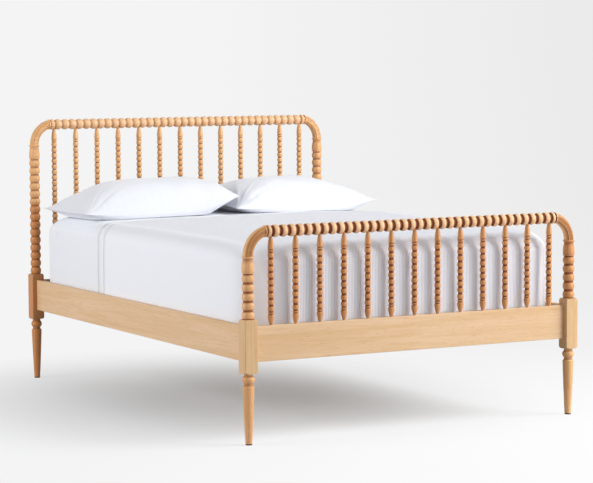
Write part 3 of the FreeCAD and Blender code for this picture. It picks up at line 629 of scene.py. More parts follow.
@dataclass(frozen=True)
class ClothFinish:
    """Bleached cotton, woven. Threads are drawn coarser than they are so that they show.

    The weave is two crossed rows of ridges, with painted shade in the valleys between; a ribbed
    cloth has wide soft ridges along its length instead, which may lie flatter, with less painted
    shade, beyond a distance from the middle of the bed. Cotton scatters light evenly and has a
    faint fuzz at grazing angles.
    """

    name: str
    colour: str = "#F1F3F7"
    # painted shade in the valleys of the weave
    valley: str = "#DDE0E8"
    across_mm: float = 1.4
    along_mm: float = 1.4
    relief_mm: float = 0.12
    strength: float = 0.35
    crease_mm: float = 90.0
    fuzz: float = 0.25
    weft_share: float = 1.0
    flatter_beyond_mm: float = 0.0
    flatter_over_mm: float = 40.0
    flatter_share: float = 0.12

    def ridges(self, tree: Tree, flow: Socket, spacing_mm: float, direction: str) -> Socket:
        """Even ridges across one direction of the cloth.

        Args:
            tree: the material's nodes.
            flow: the cloth's flat coordinates.
            spacing_mm: how far the ridges are apart.
            direction: X across the bed, Y along it.

        Returns:
            The height of the ridges, zero to one.
        """
        scale = math.tau / (20 * spacing_mm * MM)
        return add(tree, "ShaderNodeTexWave", {"Vector": flow, "Scale": scale},
                   bands_direction=direction).outputs["Fac"]

    def build(self) -> Material:
        """Makes the material: pale crests, valleys darkened as painted shade, soft creases under
        the weave.

        Returns:
            The material.
        """
        material, tree = new_material(self.name)
        flow = add(tree, "ShaderNodeUVMap", uv_map="flow").outputs[0]
        warp = self.ridges(tree, flow, self.across_mm, "X")
        weft = self.ridges(tree, flow, self.along_mm, "Y")
        weave = maths(tree, "MULTIPLY_ADD", weft, self.weft_share, warp)
        creases = noise(tree, place_in(tree), 1 / (self.crease_mm * MM), Detail=3.0)
        strength = self.strength
        crests = ramp(tree, weave, 0.1, 0.9 + self.weft_share)
        # beyond that distance the ridges lie flatter and their painted valley shade fades
        if self.flatter_beyond_mm:
            aside = add(tree, "ShaderNodeSeparateXYZ", {"Vector": flow}).outputs["X"]
            edge = self.flatter_beyond_mm * MM
            shown = ramp(tree, maths(tree, "ABSOLUTE", aside), edge,
                         edge + self.flatter_over_mm * MM, 1.0, self.flatter_share)
            strength = times(tree, shown, self.strength)
            lost = times(tree, maths(tree, "SUBTRACT", 1.0, crests), shown)
            crests = maths(tree, "SUBTRACT", 1.0, lost)
        soft = bump(tree, creases, 0.25, 1.6 * MM)
        # the valleys are darkened towards the valley colour: painted shade
        shade_with(tree, add(tree, "ShaderNodeBsdfPrincipled", {
            "Base Color": blend(tree, crests, self.valley, self.colour), "Roughness": 0.88,
            "Normal": bump(tree, weave, strength, self.relief_mm * MM, Normal=soft),
            "IOR": SURFACE_IOR, "Sheen Weight": self.fuzz, "Sheen Roughness": 0.5}))
        return material


@dataclass(frozen=True)
class PlainFinish:
    """A small plain part: rolled zinc-plated steel, moulded plastic or woven tape.

    A fine grit varies its tone and its gloss, as plating, moulding or yarn does.
    """

    name: str
    colour: str
    shade: str
    metallic: float
    roughness: float
    grit_mm: float

    def build(self) -> Material:
        """Makes the material.

        Returns:
            The material.
        """
        material, tree = new_material(self.name)
        grit = noise(tree, place_in(tree), 1 / (self.grit_mm * MM), Detail=3.0)
        shade_with(tree, add(tree, "ShaderNodeBsdfPrincipled", {
            "Base Color": blend(tree, ramp(tree, grit, 0.35, 0.7), self.colour, self.shade),
            "Roughness": ramp(tree, grit, 0, 1, self.roughness - 0.08, self.roughness + 0.1),
            "Metallic": self.metallic, "Normal": bump(tree, grit, 0.15, 0.1 * MM)}))
        return material


# spruce is planed and left bare: paler, with wide bands and no gloss
SPRUCE = ("#E8D2A8", "#DDC08F", "#C9A26B", "#8C6235", "#B08850", 9.0, 600.0, 0.62, 0.0)
# turning opens end grain all round, so the same finish sinks in and looks deeper
FINISHES = {
    # the fourth colour of each wood finish is its painted groove shade
    "upright": WoodFinish("turned_maple_upright", Axis.UP, "#ECBD8B", "#DCA66E", "#AC6A28",
                          "#7E3202", "#9A5A24", 12.0, 420.0, 0.38, 0.06, 0.9),
    "bent": WoodFinish("sawn_maple_bend", Axis.ACROSS, "#E6B783", "#D6A066", "#B27538",
                       "#7E3202", "#9A5A24", 8.0, 160.0, 0.38, 0.06, 0.8),
    "lying": WoodFinish("turned_maple_lying", Axis.ACROSS, "#F3C9A0", "#E8B583", "#C48A4C",
                        "#6A2402", "#A8662E", 12.0, 420.0, 0.36, 0.08, 0.92),
    "across": WoodFinish("lacquered_maple_across", Axis.ACROSS),
    "along": WoodFinish("lacquered_maple_along", Axis.ALONG),
    "slats": WoodFinish("bare_spruce_slats", Axis.ACROSS, *SPRUCE),
    "beam": WoodFinish("bare_spruce_beam", Axis.ALONG, *SPRUCE),
    "steel": PlainFinish("zinc_plated_steel", "#B9BBBA", "#8F9292", 1.0, 0.38, 1.2),
    "glide": PlainFinish("dark_moulded_glide", "#3A2A1E", "#241A13", 0.0, 0.6, 0.8),
    "webbing": PlainFinish("woven_cotton_tape", "#D9D5C8", "#B8B2A0", 0.0, 0.9, 0.7),
    # the second colour of each cloth finish is its painted shade in the weave's valleys
    "sheeting": ClothFinish("cotton_percale"),
    "coverlet": ClothFinish("ribbed_cotton_coverlet", "#EDEFF5", "#CDD0DA", 5.6, 9.0, 0.8, 0.5,
                            140.0, weft_share=0.15, flatter_beyond_mm=590.0),
    "pillowcase": ClothFinish("cotton_sateen", "#EDEFF6", "#E6E9F0", 1.2, 1.2, 0.08, 0.2, 60.0),
    "ticking": ClothFinish("knitted_ticking", "#ECECEC", "#D2D2D4", 5.0, 5.0, 0.6, 0.5, 120.0),
}


def dress(name: str, finish: Material) -> None:
    """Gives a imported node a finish.

    Args:
        name: the node.
        finish: its material.
    """
    node = bpy.data.objects[name]
    if not node.material_slots:
        node.data.materials.append(finish)
    for holder in node.material_slots:
        holder.material = finish
    LOG.info("dressed %s in %s", name, finish.name)


def place_piece(piece: Object, body: str, slot: str, *nodes: str) -> None:
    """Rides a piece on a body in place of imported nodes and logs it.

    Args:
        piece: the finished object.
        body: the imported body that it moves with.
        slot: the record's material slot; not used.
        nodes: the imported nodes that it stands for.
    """
    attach(piece, body)
    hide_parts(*nodes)
    LOG.info("built %s for %s, %d faces", piece.name, ", ".join(nodes), len(piece.data.polygons))


def place_wood(patch: Patch, way: str, node: str, finish: Material, sharp: float = 35.0) -> None:
    """Makes a wooden piece of the frame and puts it in place of its node.

    Args:
        patch: its surface.
        way: how it was worked, the first word of its name.
        node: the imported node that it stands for.
        finish: its material.
        sharp: faces that meet at more than this many degrees keep a crisp edge.
    """
    place_piece(patch.to_object(f"{way}_{node}", finish, sharp), "frame", "maple", node)


# ---- the wooden frame ----


# the posts' turnings in mm, as Outline.follow takes them: the leg below the block's underside,
# and ring, vase and collar above the last bead
LEG_TURNINGS = ((21.5, -49.5, 17.6, 14), (16.5, -45.0, 20.9, 10), (16.5, -36.0),
                (16.5, -9.0, 23.0, 14), (16.5, 0.0))
VASE_TURNINGS = ((22.4, -0.8), (22.4, 2.2, 22.9, 4), (20.6, 2.6), (20.6, 3.6), (22.0, 4.0),
                 (22.6, 22.0, 23.1, 10), (18.6, 46.0, 21.4, 14), (18.6, 54.0), (21.8, 54.0),
                 (21.8, 60.0, 23.0, 8))
# how much riper a post's wood is than the rest, in its leg and above its block
POST_TONES = {(End.HEAD, Side.RIGHT): (0.12, 0.12), (End.FOOT, Side.LEFT): (0.22, 0.10),
              (End.FOOT, Side.RIGHT): (0.02, 0.42)}
FOOT_TONE = 0.42  # the same for the foot spindles


@dataclass
class Posts:
    """The four posts, each turned from one square: leg, block, beads, vase and collar.

    Pairs give the head's value and the foot's. A groove as deep as the gather value takes the
    painted groove shade fully. The left head post has painted shade, for the mattress's shade,
    up to the shade top, and fades to the usual tone over the shade run.
    """

    place_x: float = 703.0 * MM
    place_y: float = 996.0 * MM
    block: float = 53.0 * MM
    block_edge: float = 3.0 * MM
    block_bottom: float = 260.0 * MM
    block_top: float = 456.0 * MM
    shoulder: float = 9.0 * MM
    beads: tuple[int, int] = (15, 5)
    bead: float = 23.0 * MM
    groove: float = 18.2 * MM
    pitch: float = 33.35 * MM
    gap: float = 4.5 * MM
    glide: float = 5.0 * MM
    toe: float = 12.5 * MM
    vase: float = 60.0 * MM
    half_planed: float = 98.0 * MM
    # share, top and run of the painted shade low on the left head post, where the mattress shades
    # it; the least ripeness is the tone of its wood
    painted_shade_share: float = 0.62
    least_ripe_and_shade: float = 0.12
    # how much painted groove shade the leg keeps
    leg_share: float = 0.45
    painted_shade_top: float = 790.0 * MM
    painted_shade_run: float = 45.0 * MM
    # groove depth that takes the full painted groove shade, head and foot
    gather: tuple[float, float] = (5.6 * MM, 4.4 * MM)

    def top(self, end: End) -> float:
        """Height of the collar's upper face."""
        return self.block_top + end.of(self.beads) * self.pitch + self.vase

    def square(self, around: np.ndarray) -> np.ndarray:
        """How far the block's rounded square stands off its axis at each angle: to the flat
        where the flat is met, and to the corner's own circle elsewhere.

        Args:
            around: the angles.

        Returns:
            One distance for each angle.
        """
        half = self.block / 2
        inner = half - self.block_edge
        angle = (around + QUARTER / 2) % QUARTER - QUARTER / 2
        flat = half / np.cos(angle)
        lean = np.stack([np.cos(angle), np.abs(np.sin(angle))], 1)
        ahead = lean.sum(1) * inner
        aside = (lean[:, 0] - lean[:, 1]) * inner
        corner = ahead + np.sqrt(np.maximum(self.block_edge ** 2 - aside ** 2, 0))
        return np.where(half * np.tan(np.abs(angle)) <= inner, flat, corner)

    def outline(self, end: End) -> np.ndarray:
        """The turning's outline from the glide up, in radius and height.

        Args:
            end: which end of the bed.

        Returns:
            Radius and height, row by row.
        """
        corner = math.hypot(self.block, self.block) / 2 - (math.sqrt(2) - 1) * self.block_edge
        inner = corner - self.shoulder
        low, top = self.block_bottom, self.block_top
        line = Outline(self.toe, self.glide).follow(LEG_TURNINGS, low).to(inner, low)
        line.runs.append(self.pummel(inner, low, 1))
        line.to(corner + MM, low + self.shoulder).to(corner + MM, top - self.shoulder)
        line.runs.append(self.pummel(inner, top, -1)[::-1])
        line.to(inner, top).to(self.groove, top)
        line.beads(end.of(self.beads), self.pitch, self.gap, self.bead, self.groove)
        return line.follow(VASE_TURNINGS, line.last[1]).array()

    def pummel(self, inner: float, level: float, up: int) -> np.ndarray:
        """The quarter round that a skew chisel leaves on the block's corners.

        Args:
            inner: radius where it starts.
            level: height where it starts.
            up: one where it runs upwards, minus one where it runs down.

        Returns:
            Its points.
        """
        angle = np.linspace(0, QUARTER, 9)[1:]
        return np.stack([inner + self.shoulder * np.sin(angle),
                         level + up * self.shoulder * (1 - np.cos(angle))], 1)

    def columns(self) -> np.ndarray:
        """Angles round a post, closer together on the flats than round the corners.

        Returns:
            The angles in radians, rising.
        """
        edge = math.atan((self.block / 2 - self.block_edge) / (self.block / 2))
        quarter = np.concatenate([np.linspace(-edge, edge, 13),
                                  np.linspace(edge, QUARTER - edge, 7)[1:-1]])
        return np.sort(np.concatenate([quarter + side * QUARTER for side in range(4)]))

    def mark_wood(self, patch: Patch, end: End, side: Side) -> None:
        """Marks a post's planed block, its painted groove shade and its tone, with painted shade
        low on the left head post.

        Args:
            patch: the post.
            end: which end of the bed.
            side: which side of it.
        """
        level = patch.points[:, 2]
        leg = level < self.block_bottom
        block = np.abs(level - (self.block_bottom + self.block_top) / 2) < self.half_planed
        # no painted groove shade on the planed block, and less of it in the leg
        patch.hollow[block] = 0
        patch.hollow[leg] *= self.leg_share
        patch.planed = block.astype(float)
        if (end, side) in POST_TONES:
            in_leg, above = POST_TONES[end, side]
            patch.tone = np.where(block, 0.0, np.where(leg, in_leg, above))
        else:
            # painted shade: the left head post darkens below the height where the mattress shades
            # it
            share = eased(np.clip((self.painted_shade_top - level) / self.painted_shade_run, 0, 1))
            patch.tone = np.maximum(self.painted_shade_share * share, self.least_ripe_and_shade)

    def build(self, finishes: Materials) -> None:
        """Makes and places all four posts.

        Args:
            finishes: every material by its short name.
        """
        around = self.columns()
        for end in End:
            outline = self.outline(end)
            deepest = end.of(self.gather)
            for side in Side:
                centre = (side.value * self.place_x, end.value * self.place_y, 0.0)
                patch = turned(outline, centre, Axis.UP, around, self.square(around), deepest)
                self.mark_wood(patch, end, side)
                place_wood(patch, "turned", f"{end.word}_post_{side.word}", finishes["upright"])


@dataclass
class Elbows:
    """The four eight-sided corners, bent a quarter turn from post to top rail.

    The facet values give the painted shade on the slanting facets at head and foot, and the line
    values the painted shade on their arrises.
    """

    posts: Posts
    reach: float = 66.0 * MM
    rise: float = 88.4 * MM
    thickness: float = 35.0 * MM
    flat: float = 8.5 * MM
    arris: float = 2.0 * MM
    # painted shade on the slanting facets, head and foot
    facet_shade: tuple[float, float] = (0.05, 0.8)
    # painted shade on the middle of each arris, head and foot
    lines: tuple[float, float] = (0.75, 0.0)
    rows: int = 33
    crisp_from: float = 10.0

    @property
    def bend(self) -> float:
        """Radius of the elbow's middle line."""
        return (self.reach ** 2 + self.rise ** 2) / (2 * self.reach)

    def section(self) -> np.ndarray:
        """An eight-sided section whose corners are eased by short parabolas: each corner gives
        the two points an arris away from it and the one halfway round.

        Returns:
            The section's points, outwards and along the bed.
        """
        half = self.thickness / 2
        low = half - self.flat
        corner = np.array([(half, -low), (half, low), (low, half), (-low, half),
                           (-half, low), (-half, -low), (-low, -half), (low, -half)])
        before = np.roll(corner, 1, 0) - corner
        after = np.roll(corner, -1, 0) - corner
        before *= self.arris / np.linalg.norm(before, axis=1, keepdims=True)
        after *= self.arris / np.linalg.norm(after, axis=1, keepdims=True)
        rounded = [corner + before, corner + (before + after) / 4, corner + after]
        return np.stack(rounded, 1).reshape(-1, 2)

    def patch(self, end: End) -> Patch:
        """The left elbow: each corner of the section runs round the bend's centre from the
        collar until it meets the upright plane at the rail's end. Shade is painted on the slanting
        facets and on the middle of each arris.

        Args:
            end: which end of the bed.

        Returns:
            Its closed surface.
        """
        section = self.section()
        centre = np.array([-self.posts.place_x + self.bend, end.value * self.posts.place_y,
                           self.posts.top(end)])
        radius = self.bend + section[:, 0]
        last = np.arccos((self.bend - self.reach) / radius)
        angle = np.linspace(0, 1, self.rows)[:, None] * last[None, :]
        points = np.stack([centre[0] - radius * np.cos(angle),
                           np.broadcast_to(centre[1] + section[:, 1], angle.shape),
                           centre[2] + radius * np.sin(angle)], -1).reshape(-1, 3)
        # painted shade: points towards the front and back of the section are darkened through the
        # hollow mark, and the middle of each arris by the line value
        aside = np.abs(section[:, 1])
        slant = np.clip((aside - self.thickness / 4) / (self.thickness / 8), 0, 1)
        hollow = end.of(self.facet_shade) * slant
        hollow[1::3] = end.of(self.lines)
        return tube(points, len(section), np.tile(hollow, self.rows))

    def build(self, finishes: Materials) -> None:
        """Makes and places all four elbows.

        Args:
            finishes: every material by its short name.
        """
        for end in End:
            left = self.patch(end)
            for side, patch in ((Side.LEFT, left), (Side.RIGHT, mirrored(left))):
                place_wood(patch, "bent", f"{end.word}_elbow_{side.word}", finishes["bent"],
                           self.crisp_from)


@dataclass
class TopRails:
    """The two top rails, one row of beads each, with a ring and a recess at both ends."""

    posts: Posts
    elbows: Elbows
    bead: float = 23.0 * MM
    groove: float = 17.5 * MM
    gap: float = 6.0 * MM
    end_bead: float = 27.4 * MM
    ring: float = 3.5 * MM
    ring_edge: float = 21.0 * MM
    ring_swell: float = 22.0 * MM
    recess: float = 4.0 * MM
    groove_sag: float = 0.7 * MM
    spindles: int = 13
    columns: int = 56
    # groove depth that takes the full painted groove shade, head and foot
    gather: tuple[float, float] = (7.5 * MM, 2.5 * MM)

    @property
    def half(self) -> float:
        """Half of a rail's length."""
        return self.posts.place_x - self.elbows.reach

    @property
    def spacing(self) -> float:
        """Distance between two spindles."""
        return 2 * (self.half - self.end_bead) / (self.spindles - 1)

    def axis_height(self, end: End) -> float:
        """Height of a rail's axis."""
        return self.posts.top(end) + self.elbows.rise

    def outline(self) -> np.ndarray:
        """Ring, recess, end bead, three beads to each spindle, and the same again.

        Returns:
            Radius and place across the bed, row by row.
        """
        half, groove = self.half, self.groove
        start = -half + self.ring + self.recess
        first = -half + self.end_bead
        pitch = self.spacing / 3
        line = Outline(self.ring_edge, -half)
        line.swell(self.ring_swell, self.ring_edge, -half + self.ring, 4)
        line.to(groove, -half + self.ring).to(groove, start)
        line.swell(self.bead, groove, first - self.gap / 2, 10)
        line.to(groove - self.groove_sag, first)
        line.to(groove, first + self.gap / 2)
        line.beads(3 * (self.spindles - 1), pitch, self.gap, self.bead, groove)
        line.swell(self.bead, groove, -start, 10)
        line.to(groove, half - self.ring).to(self.ring_edge, half - self.ring)
        line.swell(self.ring_swell, self.ring_edge, half, 4)
        return line.array()

    def build(self, finishes: Materials) -> None:
        """Makes and places both rails.

        Args:
            finishes: every material by its short name.
        """
        for end in End:
            centre = (0.0, end.value * self.posts.place_y, self.axis_height(end))
            deepest = end.of(self.gather)
            patch = turned(self.outline(), centre, Axis.ACROSS, even_turn(self.columns),
                           deepest=deepest)
            place_wood(patch, "turned", f"{end.word}_top_rail", finishes["lying"])


@dataclass
class Spindles:
    """Thirteen ball-turned spindles at each end, between the lower rail and the top rail.

    Widths of the teardrop and the taper are shares of a ball's. The teardrop has its width
    halfway and the share of its height where it is widest; the taper has its width across the
    shoulder, above the shoulder and halfway up.
    """

    rails: TopRails
    foot_level: float = 430.0 * MM
    bead: float = 12.2 * MM
    neck: float = 8.0 * MM
    tip: float = 4.8 * MM
    quirk: float = 9.0 * MM
    balls: tuple[int, int] = (23, 9)
    ring: float = 7.0 * MM
    foot: float = 47.0 * MM
    head: float = 58.0 * MM
    tenon: float = 2.0 * MM
    teardrop: tuple[float, float] = (0.8, 0.75)
    taper: tuple[float, float, float] = (0.98, 0.94, 0.78)
    shoulder: float = 10.0 * MM
    columns: int = 28
    # groove depth that takes the full painted groove shade, head and foot
    gather: tuple[float, float] = (3.6 * MM, 2.3 * MM)

    def outline(self, end: End) -> np.ndarray:
        """Teardrop, ring, a run of balls, ring and taper, from the lower shoulder at zero.

        Args:
            end: which end of the bed.

        Returns:
            Radius and height, row by row.
        """
        length = self.rails.axis_height(end) - self.rails.groove - self.foot_level
        balls = end.of(self.balls)
        head = length - self.head
        start = self.foot - self.ring - MM
        below, widest = self.teardrop
        across, above, halfway = (share * self.bead for share in self.taper)
        line = Outline(self.tip, -self.tenon).to(self.tip, 0.0)
        line.swell(below * self.bead, self.bead, start * widest, 10)
        line.swell(self.bead, self.quirk, start, 5)
        line.to(self.quirk, start + MM).swell(self.bead, self.neck, self.foot, 7)
        line.beads(balls, (head - self.foot) / balls, 0.0, self.bead, self.neck)
        line.swell(self.bead, self.quirk, head + self.ring, 7).to(self.quirk, head + self.ring + MM)
        line.swell(across, above, head + self.ring + self.shoulder, 5)
        line.swell(halfway, self.tip, length, 12).to(self.tip, length + self.tenon)
        return line.array()

    def build(self, finishes: Materials) -> None:
        """Makes and places all spindles.

        Args:
            finishes: every material by its short name.
        """
        for end in End:
            outline = self.outline(end)
            deepest = end.of(self.gather)
            for number in range(self.rails.spindles):
                place_x = (number - (self.rails.spindles - 1) / 2) * self.rails.spacing
                centre = (place_x, end.value * self.rails.posts.place_y, self.foot_level)
                patch = turned(outline, centre, Axis.UP, even_turn(self.columns), deepest=deepest)
                if end is End.FOOT:
                    patch.tone = np.full(len(patch.points), FOOT_TONE)
                place_wood(patch, "turned", f"{end.word}_spindle_{number + 1:02d}",
                           finishes["upright"])


class PlainTimber:
    """Straight rails, cleats, slats and beam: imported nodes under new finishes."""

    def build(self, finishes: Materials) -> None:
        """Dresses every straight piece of wood and every fitting.

        Args:
            finishes: every material by its short name.
        """
        for end in End:
            dress(f"{end.word}_lower_rail", finishes["across"])
        for side in Side:
            dress(f"side_rail_{side.word}", finishes["along"])
            dress(f"cleat_{side.word}", finishes["beam"])
        for word, nodes in (
                ("slats", ("slats", "elbow_dowels")), ("beam", ("centre_beam",)),
                ("webbing", ("slat_tapes",)), ("glide", ("foot_glides",)),
                ("steel", ("beam_stirrups", "stirrup_screws", "rail_hooks", "post_plates",
                           "plate_screws", "cleat_screws"))):
            for node in nodes:
                dress(node, finishes[word])


# ---- the bedding ----


@dataclass
class BedForm:
    """The outer form of the mattress: a rounded plan, a rounded shoulder and a low crown.

    The play values say how uneven the made bed is, above the height where the frame lets it go,
    and how far the open head edge of a layer wanders. A wave is a share, a length and a seed.
    """

    half_x: float = 680.0 * MM
    half_y: float = 952.5 * MM
    middle_y: float = -12.0 * MM
    head_corner: float = 63.0 * MM
    foot_corner: float = 155.0 * MM
    shoulder: float = 66.0 * MM
    bottom: float = 375.0 * MM
    height: float = 711.0 * MM
    crown: float = 11.0 * MM
    droop: float = 20.0 * MM
    crown_power: float = 2.4
    droop_power: float = 7.0
    play: float = 2.2 * MM
    waves: tuple[tuple[float, float, int], ...] = ((1.0, 0.42, 5), (0.45, 0.16, 8))
    free_from: float = 440.0 * MM
    free_over: float = 120.0 * MM
    edge_play: float = 4.5 * MM
    edge_reach: float = 110.0 * MM
    edge_wave: tuple[float, int] = (0.22, 3)
    side_rows: int = 21
    shoulder_rows: int = 13
    top_rows: int = 25
    top_closing: float = 1.15
    straight_columns: int = 48
    corner_columns: int = 10

    def rise(self, x: np.ndarray, y: np.ndarray) -> np.ndarray:
        """Height of the crown: full in the middle, zero along the sides, by the product of two
        falling powers of the distance from the middle, and drooping at the four corners.

        Args:
            x: places across the bed.
            y: places along it.

        Returns:
            One height for each place.
        """
        share_x = np.clip(np.abs(x) / self.half_x, 0, 1)
        share_y = np.clip(np.abs(y - self.middle_y) / self.half_y, 0, 1)
        power = self.crown_power
        full = self.crown * (1 - share_x ** power) * (1 - share_y ** power)
        return full - self.droop * (share_x * share_y) ** self.droop_power

    def profile(self, hem: float, swell: float) -> tuple[np.ndarray, np.ndarray, np.ndarray]:
        """From the hem up the side, round the shoulder and across the top.

        Args:
            hem: height where the layer starts.
            swell: how far the layer lies outside the mattress.

        Returns:
            For each row its inset from the side, its height without the crown, and its distance
            along the cloth from where the top begins, below zero on top.
        """
        angle = np.linspace(0, QUARTER, self.shoulder_rows)
        bend = self.shoulder + swell
        start = self.height - self.shoulder
        side = np.linspace(hem, start, self.side_rows + 1)[:-1]
        share = np.linspace(0, 1, self.top_rows + 1)[1:] ** self.top_closing
        top = share * (self.half_x - self.shoulder)
        inset = np.concatenate([np.full(self.side_rows, -swell),
                                self.shoulder - bend * np.cos(angle), self.shoulder + top])
        level = np.concatenate([side, start + bend * np.sin(angle),
                                np.full(self.top_rows, self.height + swell)])
        down = np.concatenate([start - side + bend * QUARTER, bend * (QUARTER - angle), -top])
        return inset, level, down

    def loop(self, inset: np.ndarray, swell: float,
             edge: float | None) -> tuple[np.ndarray, np.ndarray]:
        """Rounded rectangles, one for each inset, all with the same columns.

        Args:
            inset: how far each row is drawn in.
            swell: growth of the corners.
            edge: where an open loop starts and ends on both sides, or None for a closed loop.

        Returns:
            Plan points by row and column, and the outward direction at each of them.
        """
        over = (self.half_x - inset)[:, None]
        along = (self.half_y - inset)[:, None]
        drawn = np.clip((inset - self.shoulder) / (self.half_x - self.shoulder), 0, 1)[:, None]
        head = (self.head_corner + swell) * (1 - drawn)
        foot = (self.foot_corner + swell) * (1 - drawn)
        far = along - head if edge is None else edge - self.middle_y + 0 * along
        share = np.linspace(0, 1, self.straight_columns + 1)[None, :-1]
        turn = np.linspace(0, QUARTER, self.corner_columns + 1)[None, :-1]
        runs = []
        straight = ((-over, far, -over, foot - along, -1, 0),
                    (foot - over, -along, over - foot, -along, 0, -1),
                    (over, foot - along, over, far, 1, 0),
                    (over - head, along, head - over, along, 0, 1))
        for number, (x0, y0, x1, y1, out_x, out_y) in enumerate(straight):
            if number == 3 and edge is not None:
                break
            runs.append((x0 + (x1 - x0) * share, y0 + (y1 - y0) * share,
                         out_x + 0 * share, out_y + 0 * share))
            if number == 2 and edge is not None:
                runs.append((x1, y1, out_x + 0 * x1, out_y + 0 * x1))
                break
            angle = math.pi * (1 + number / 2) + turn
            corner = foot if number in (0, 1) else head
            middle_x = corner - over if number in (0, 3) else over - corner
            middle_y = corner - along if number in (0, 1) else along - corner
            runs.append((middle_x + corner * np.cos(angle), middle_y + corner * np.sin(angle),
                         np.cos(angle), np.sin(angle)))
        full = [np.concatenate([np.broadcast_to(run[part], (len(inset), run[part].shape[-1]))
                                for run in runs], 1) for part in range(4)]
        return np.stack(full[:2], -1), np.stack(full[2:], -1)

    def settle(self, points: np.ndarray) -> np.ndarray:
        """How far the made bed bulges or sags at each point, the same for every layer, so that
        they stay apart; nothing moves where the frame holds the mattress.

        Args:
            points: places in space.

        Returns:
            One distance for each point.
        """
        free = eased(np.clip((points[..., 2] - self.free_from) / self.free_over, 0, 1))
        return self.play * free * sum(share * ripple(points, length, seed)
                                      for share, length, seed in self.waves)

    def lay(self, plan: np.ndarray, level: np.ndarray) -> tuple[np.ndarray, np.ndarray]:
        """Raises plan loops to their heights and over the crown.

        Args:
            plan: points by row and column, measured from the middle of the mattress.
            level: the height of each row without the crown.

        Returns:
            The points in space, and for each row how far it is up the shoulder, from 0 to 1.
        """
        x, y = plan[..., 0], plan[..., 1] + self.middle_y
        share = np.clip((level - self.height + self.shoulder) / self.shoulder, 0, 1)[:, None]
        return np.stack([x, y, level[:, None] + self.rise(x, y) * share], -1), share

    def layer(self, hem: float, swell: float, edge: float | None = None) -> Patch:
        """One layer of bedding over the mattress.

        The point at row r and column c is the plan loop of row r at column c, raised to the row's
        height plus the crown, and pushed outwards by the unevenness of the made bed.

        Args:
            hem: height of the lower edge.
            swell: distance outside the mattress.
            edge: where the layer ends towards the head, or None if it goes all round.

        Returns:
            The open surface with flat cloth coordinates, merged where the top closes.
        """
        inset, level, down = self.profile(hem, swell)
        plan, out = self.loop(inset, swell, edge)
        points, share = self.lay(plan, level)
        x_and_y = points[..., :2]
        uneven = self.settle(points)
        tilt = (1 - share)[..., None]
        push = np.concatenate([out * tilt, np.broadcast_to(1 - tilt, out.shape[:2] + (1,))], -1)
        points = points + push * uneven[..., None]
        if edge is not None:
            near = np.clip(1 - (edge - points[..., 1]) / self.edge_reach, 0, 1) ** 2
            along = points * [1, 0, 1] + [0, edge, 0]
            points[..., 1] += self.edge_play * near * ripple(along, *self.edge_wave)
        top_row = plan[np.searchsorted(-down, -1e-9)] + np.array([0, self.middle_y])
        beyond = np.maximum(down, 0)[:, None, None] * out
        flow = np.where(down[:, None, None] > 0, top_row[None] + beyond, x_and_y)
        quads = grid(*plan.shape[:2], round_columns=edge is None)
        return Patch(points.reshape(-1, 3), quads, NO_FACES, flow.reshape(-1, 2)).outward()


def merge_close(piece: Object, reach: float = 0.05 * MM) -> None:
    """Joins points that lie in one place, as where a surface closes on itself.

    Args:
        piece: the object whose mesh is cleaned.
        reach: the largest distance that counts as one place.
    """
    work = bmesh.new()
    work.from_mesh(piece.data)
    bmesh.ops.remove_doubles(work, verts=work.verts, dist=reach)
    work.to_mesh(piece.data)
    work.free()
    piece.data.update()


def thicken(piece: Object, gauge: float) -> None:
    """Gives a sheet its thickness, inwards from its outer face.

    Args:
        piece: the sheet.
        gauge: its thickness.
    """
    shell = piece.modifiers.new("thickness", "SOLIDIFY")
    shell.thickness = gauge
    shell.offset = -1.0
    shell.use_even_offset = True


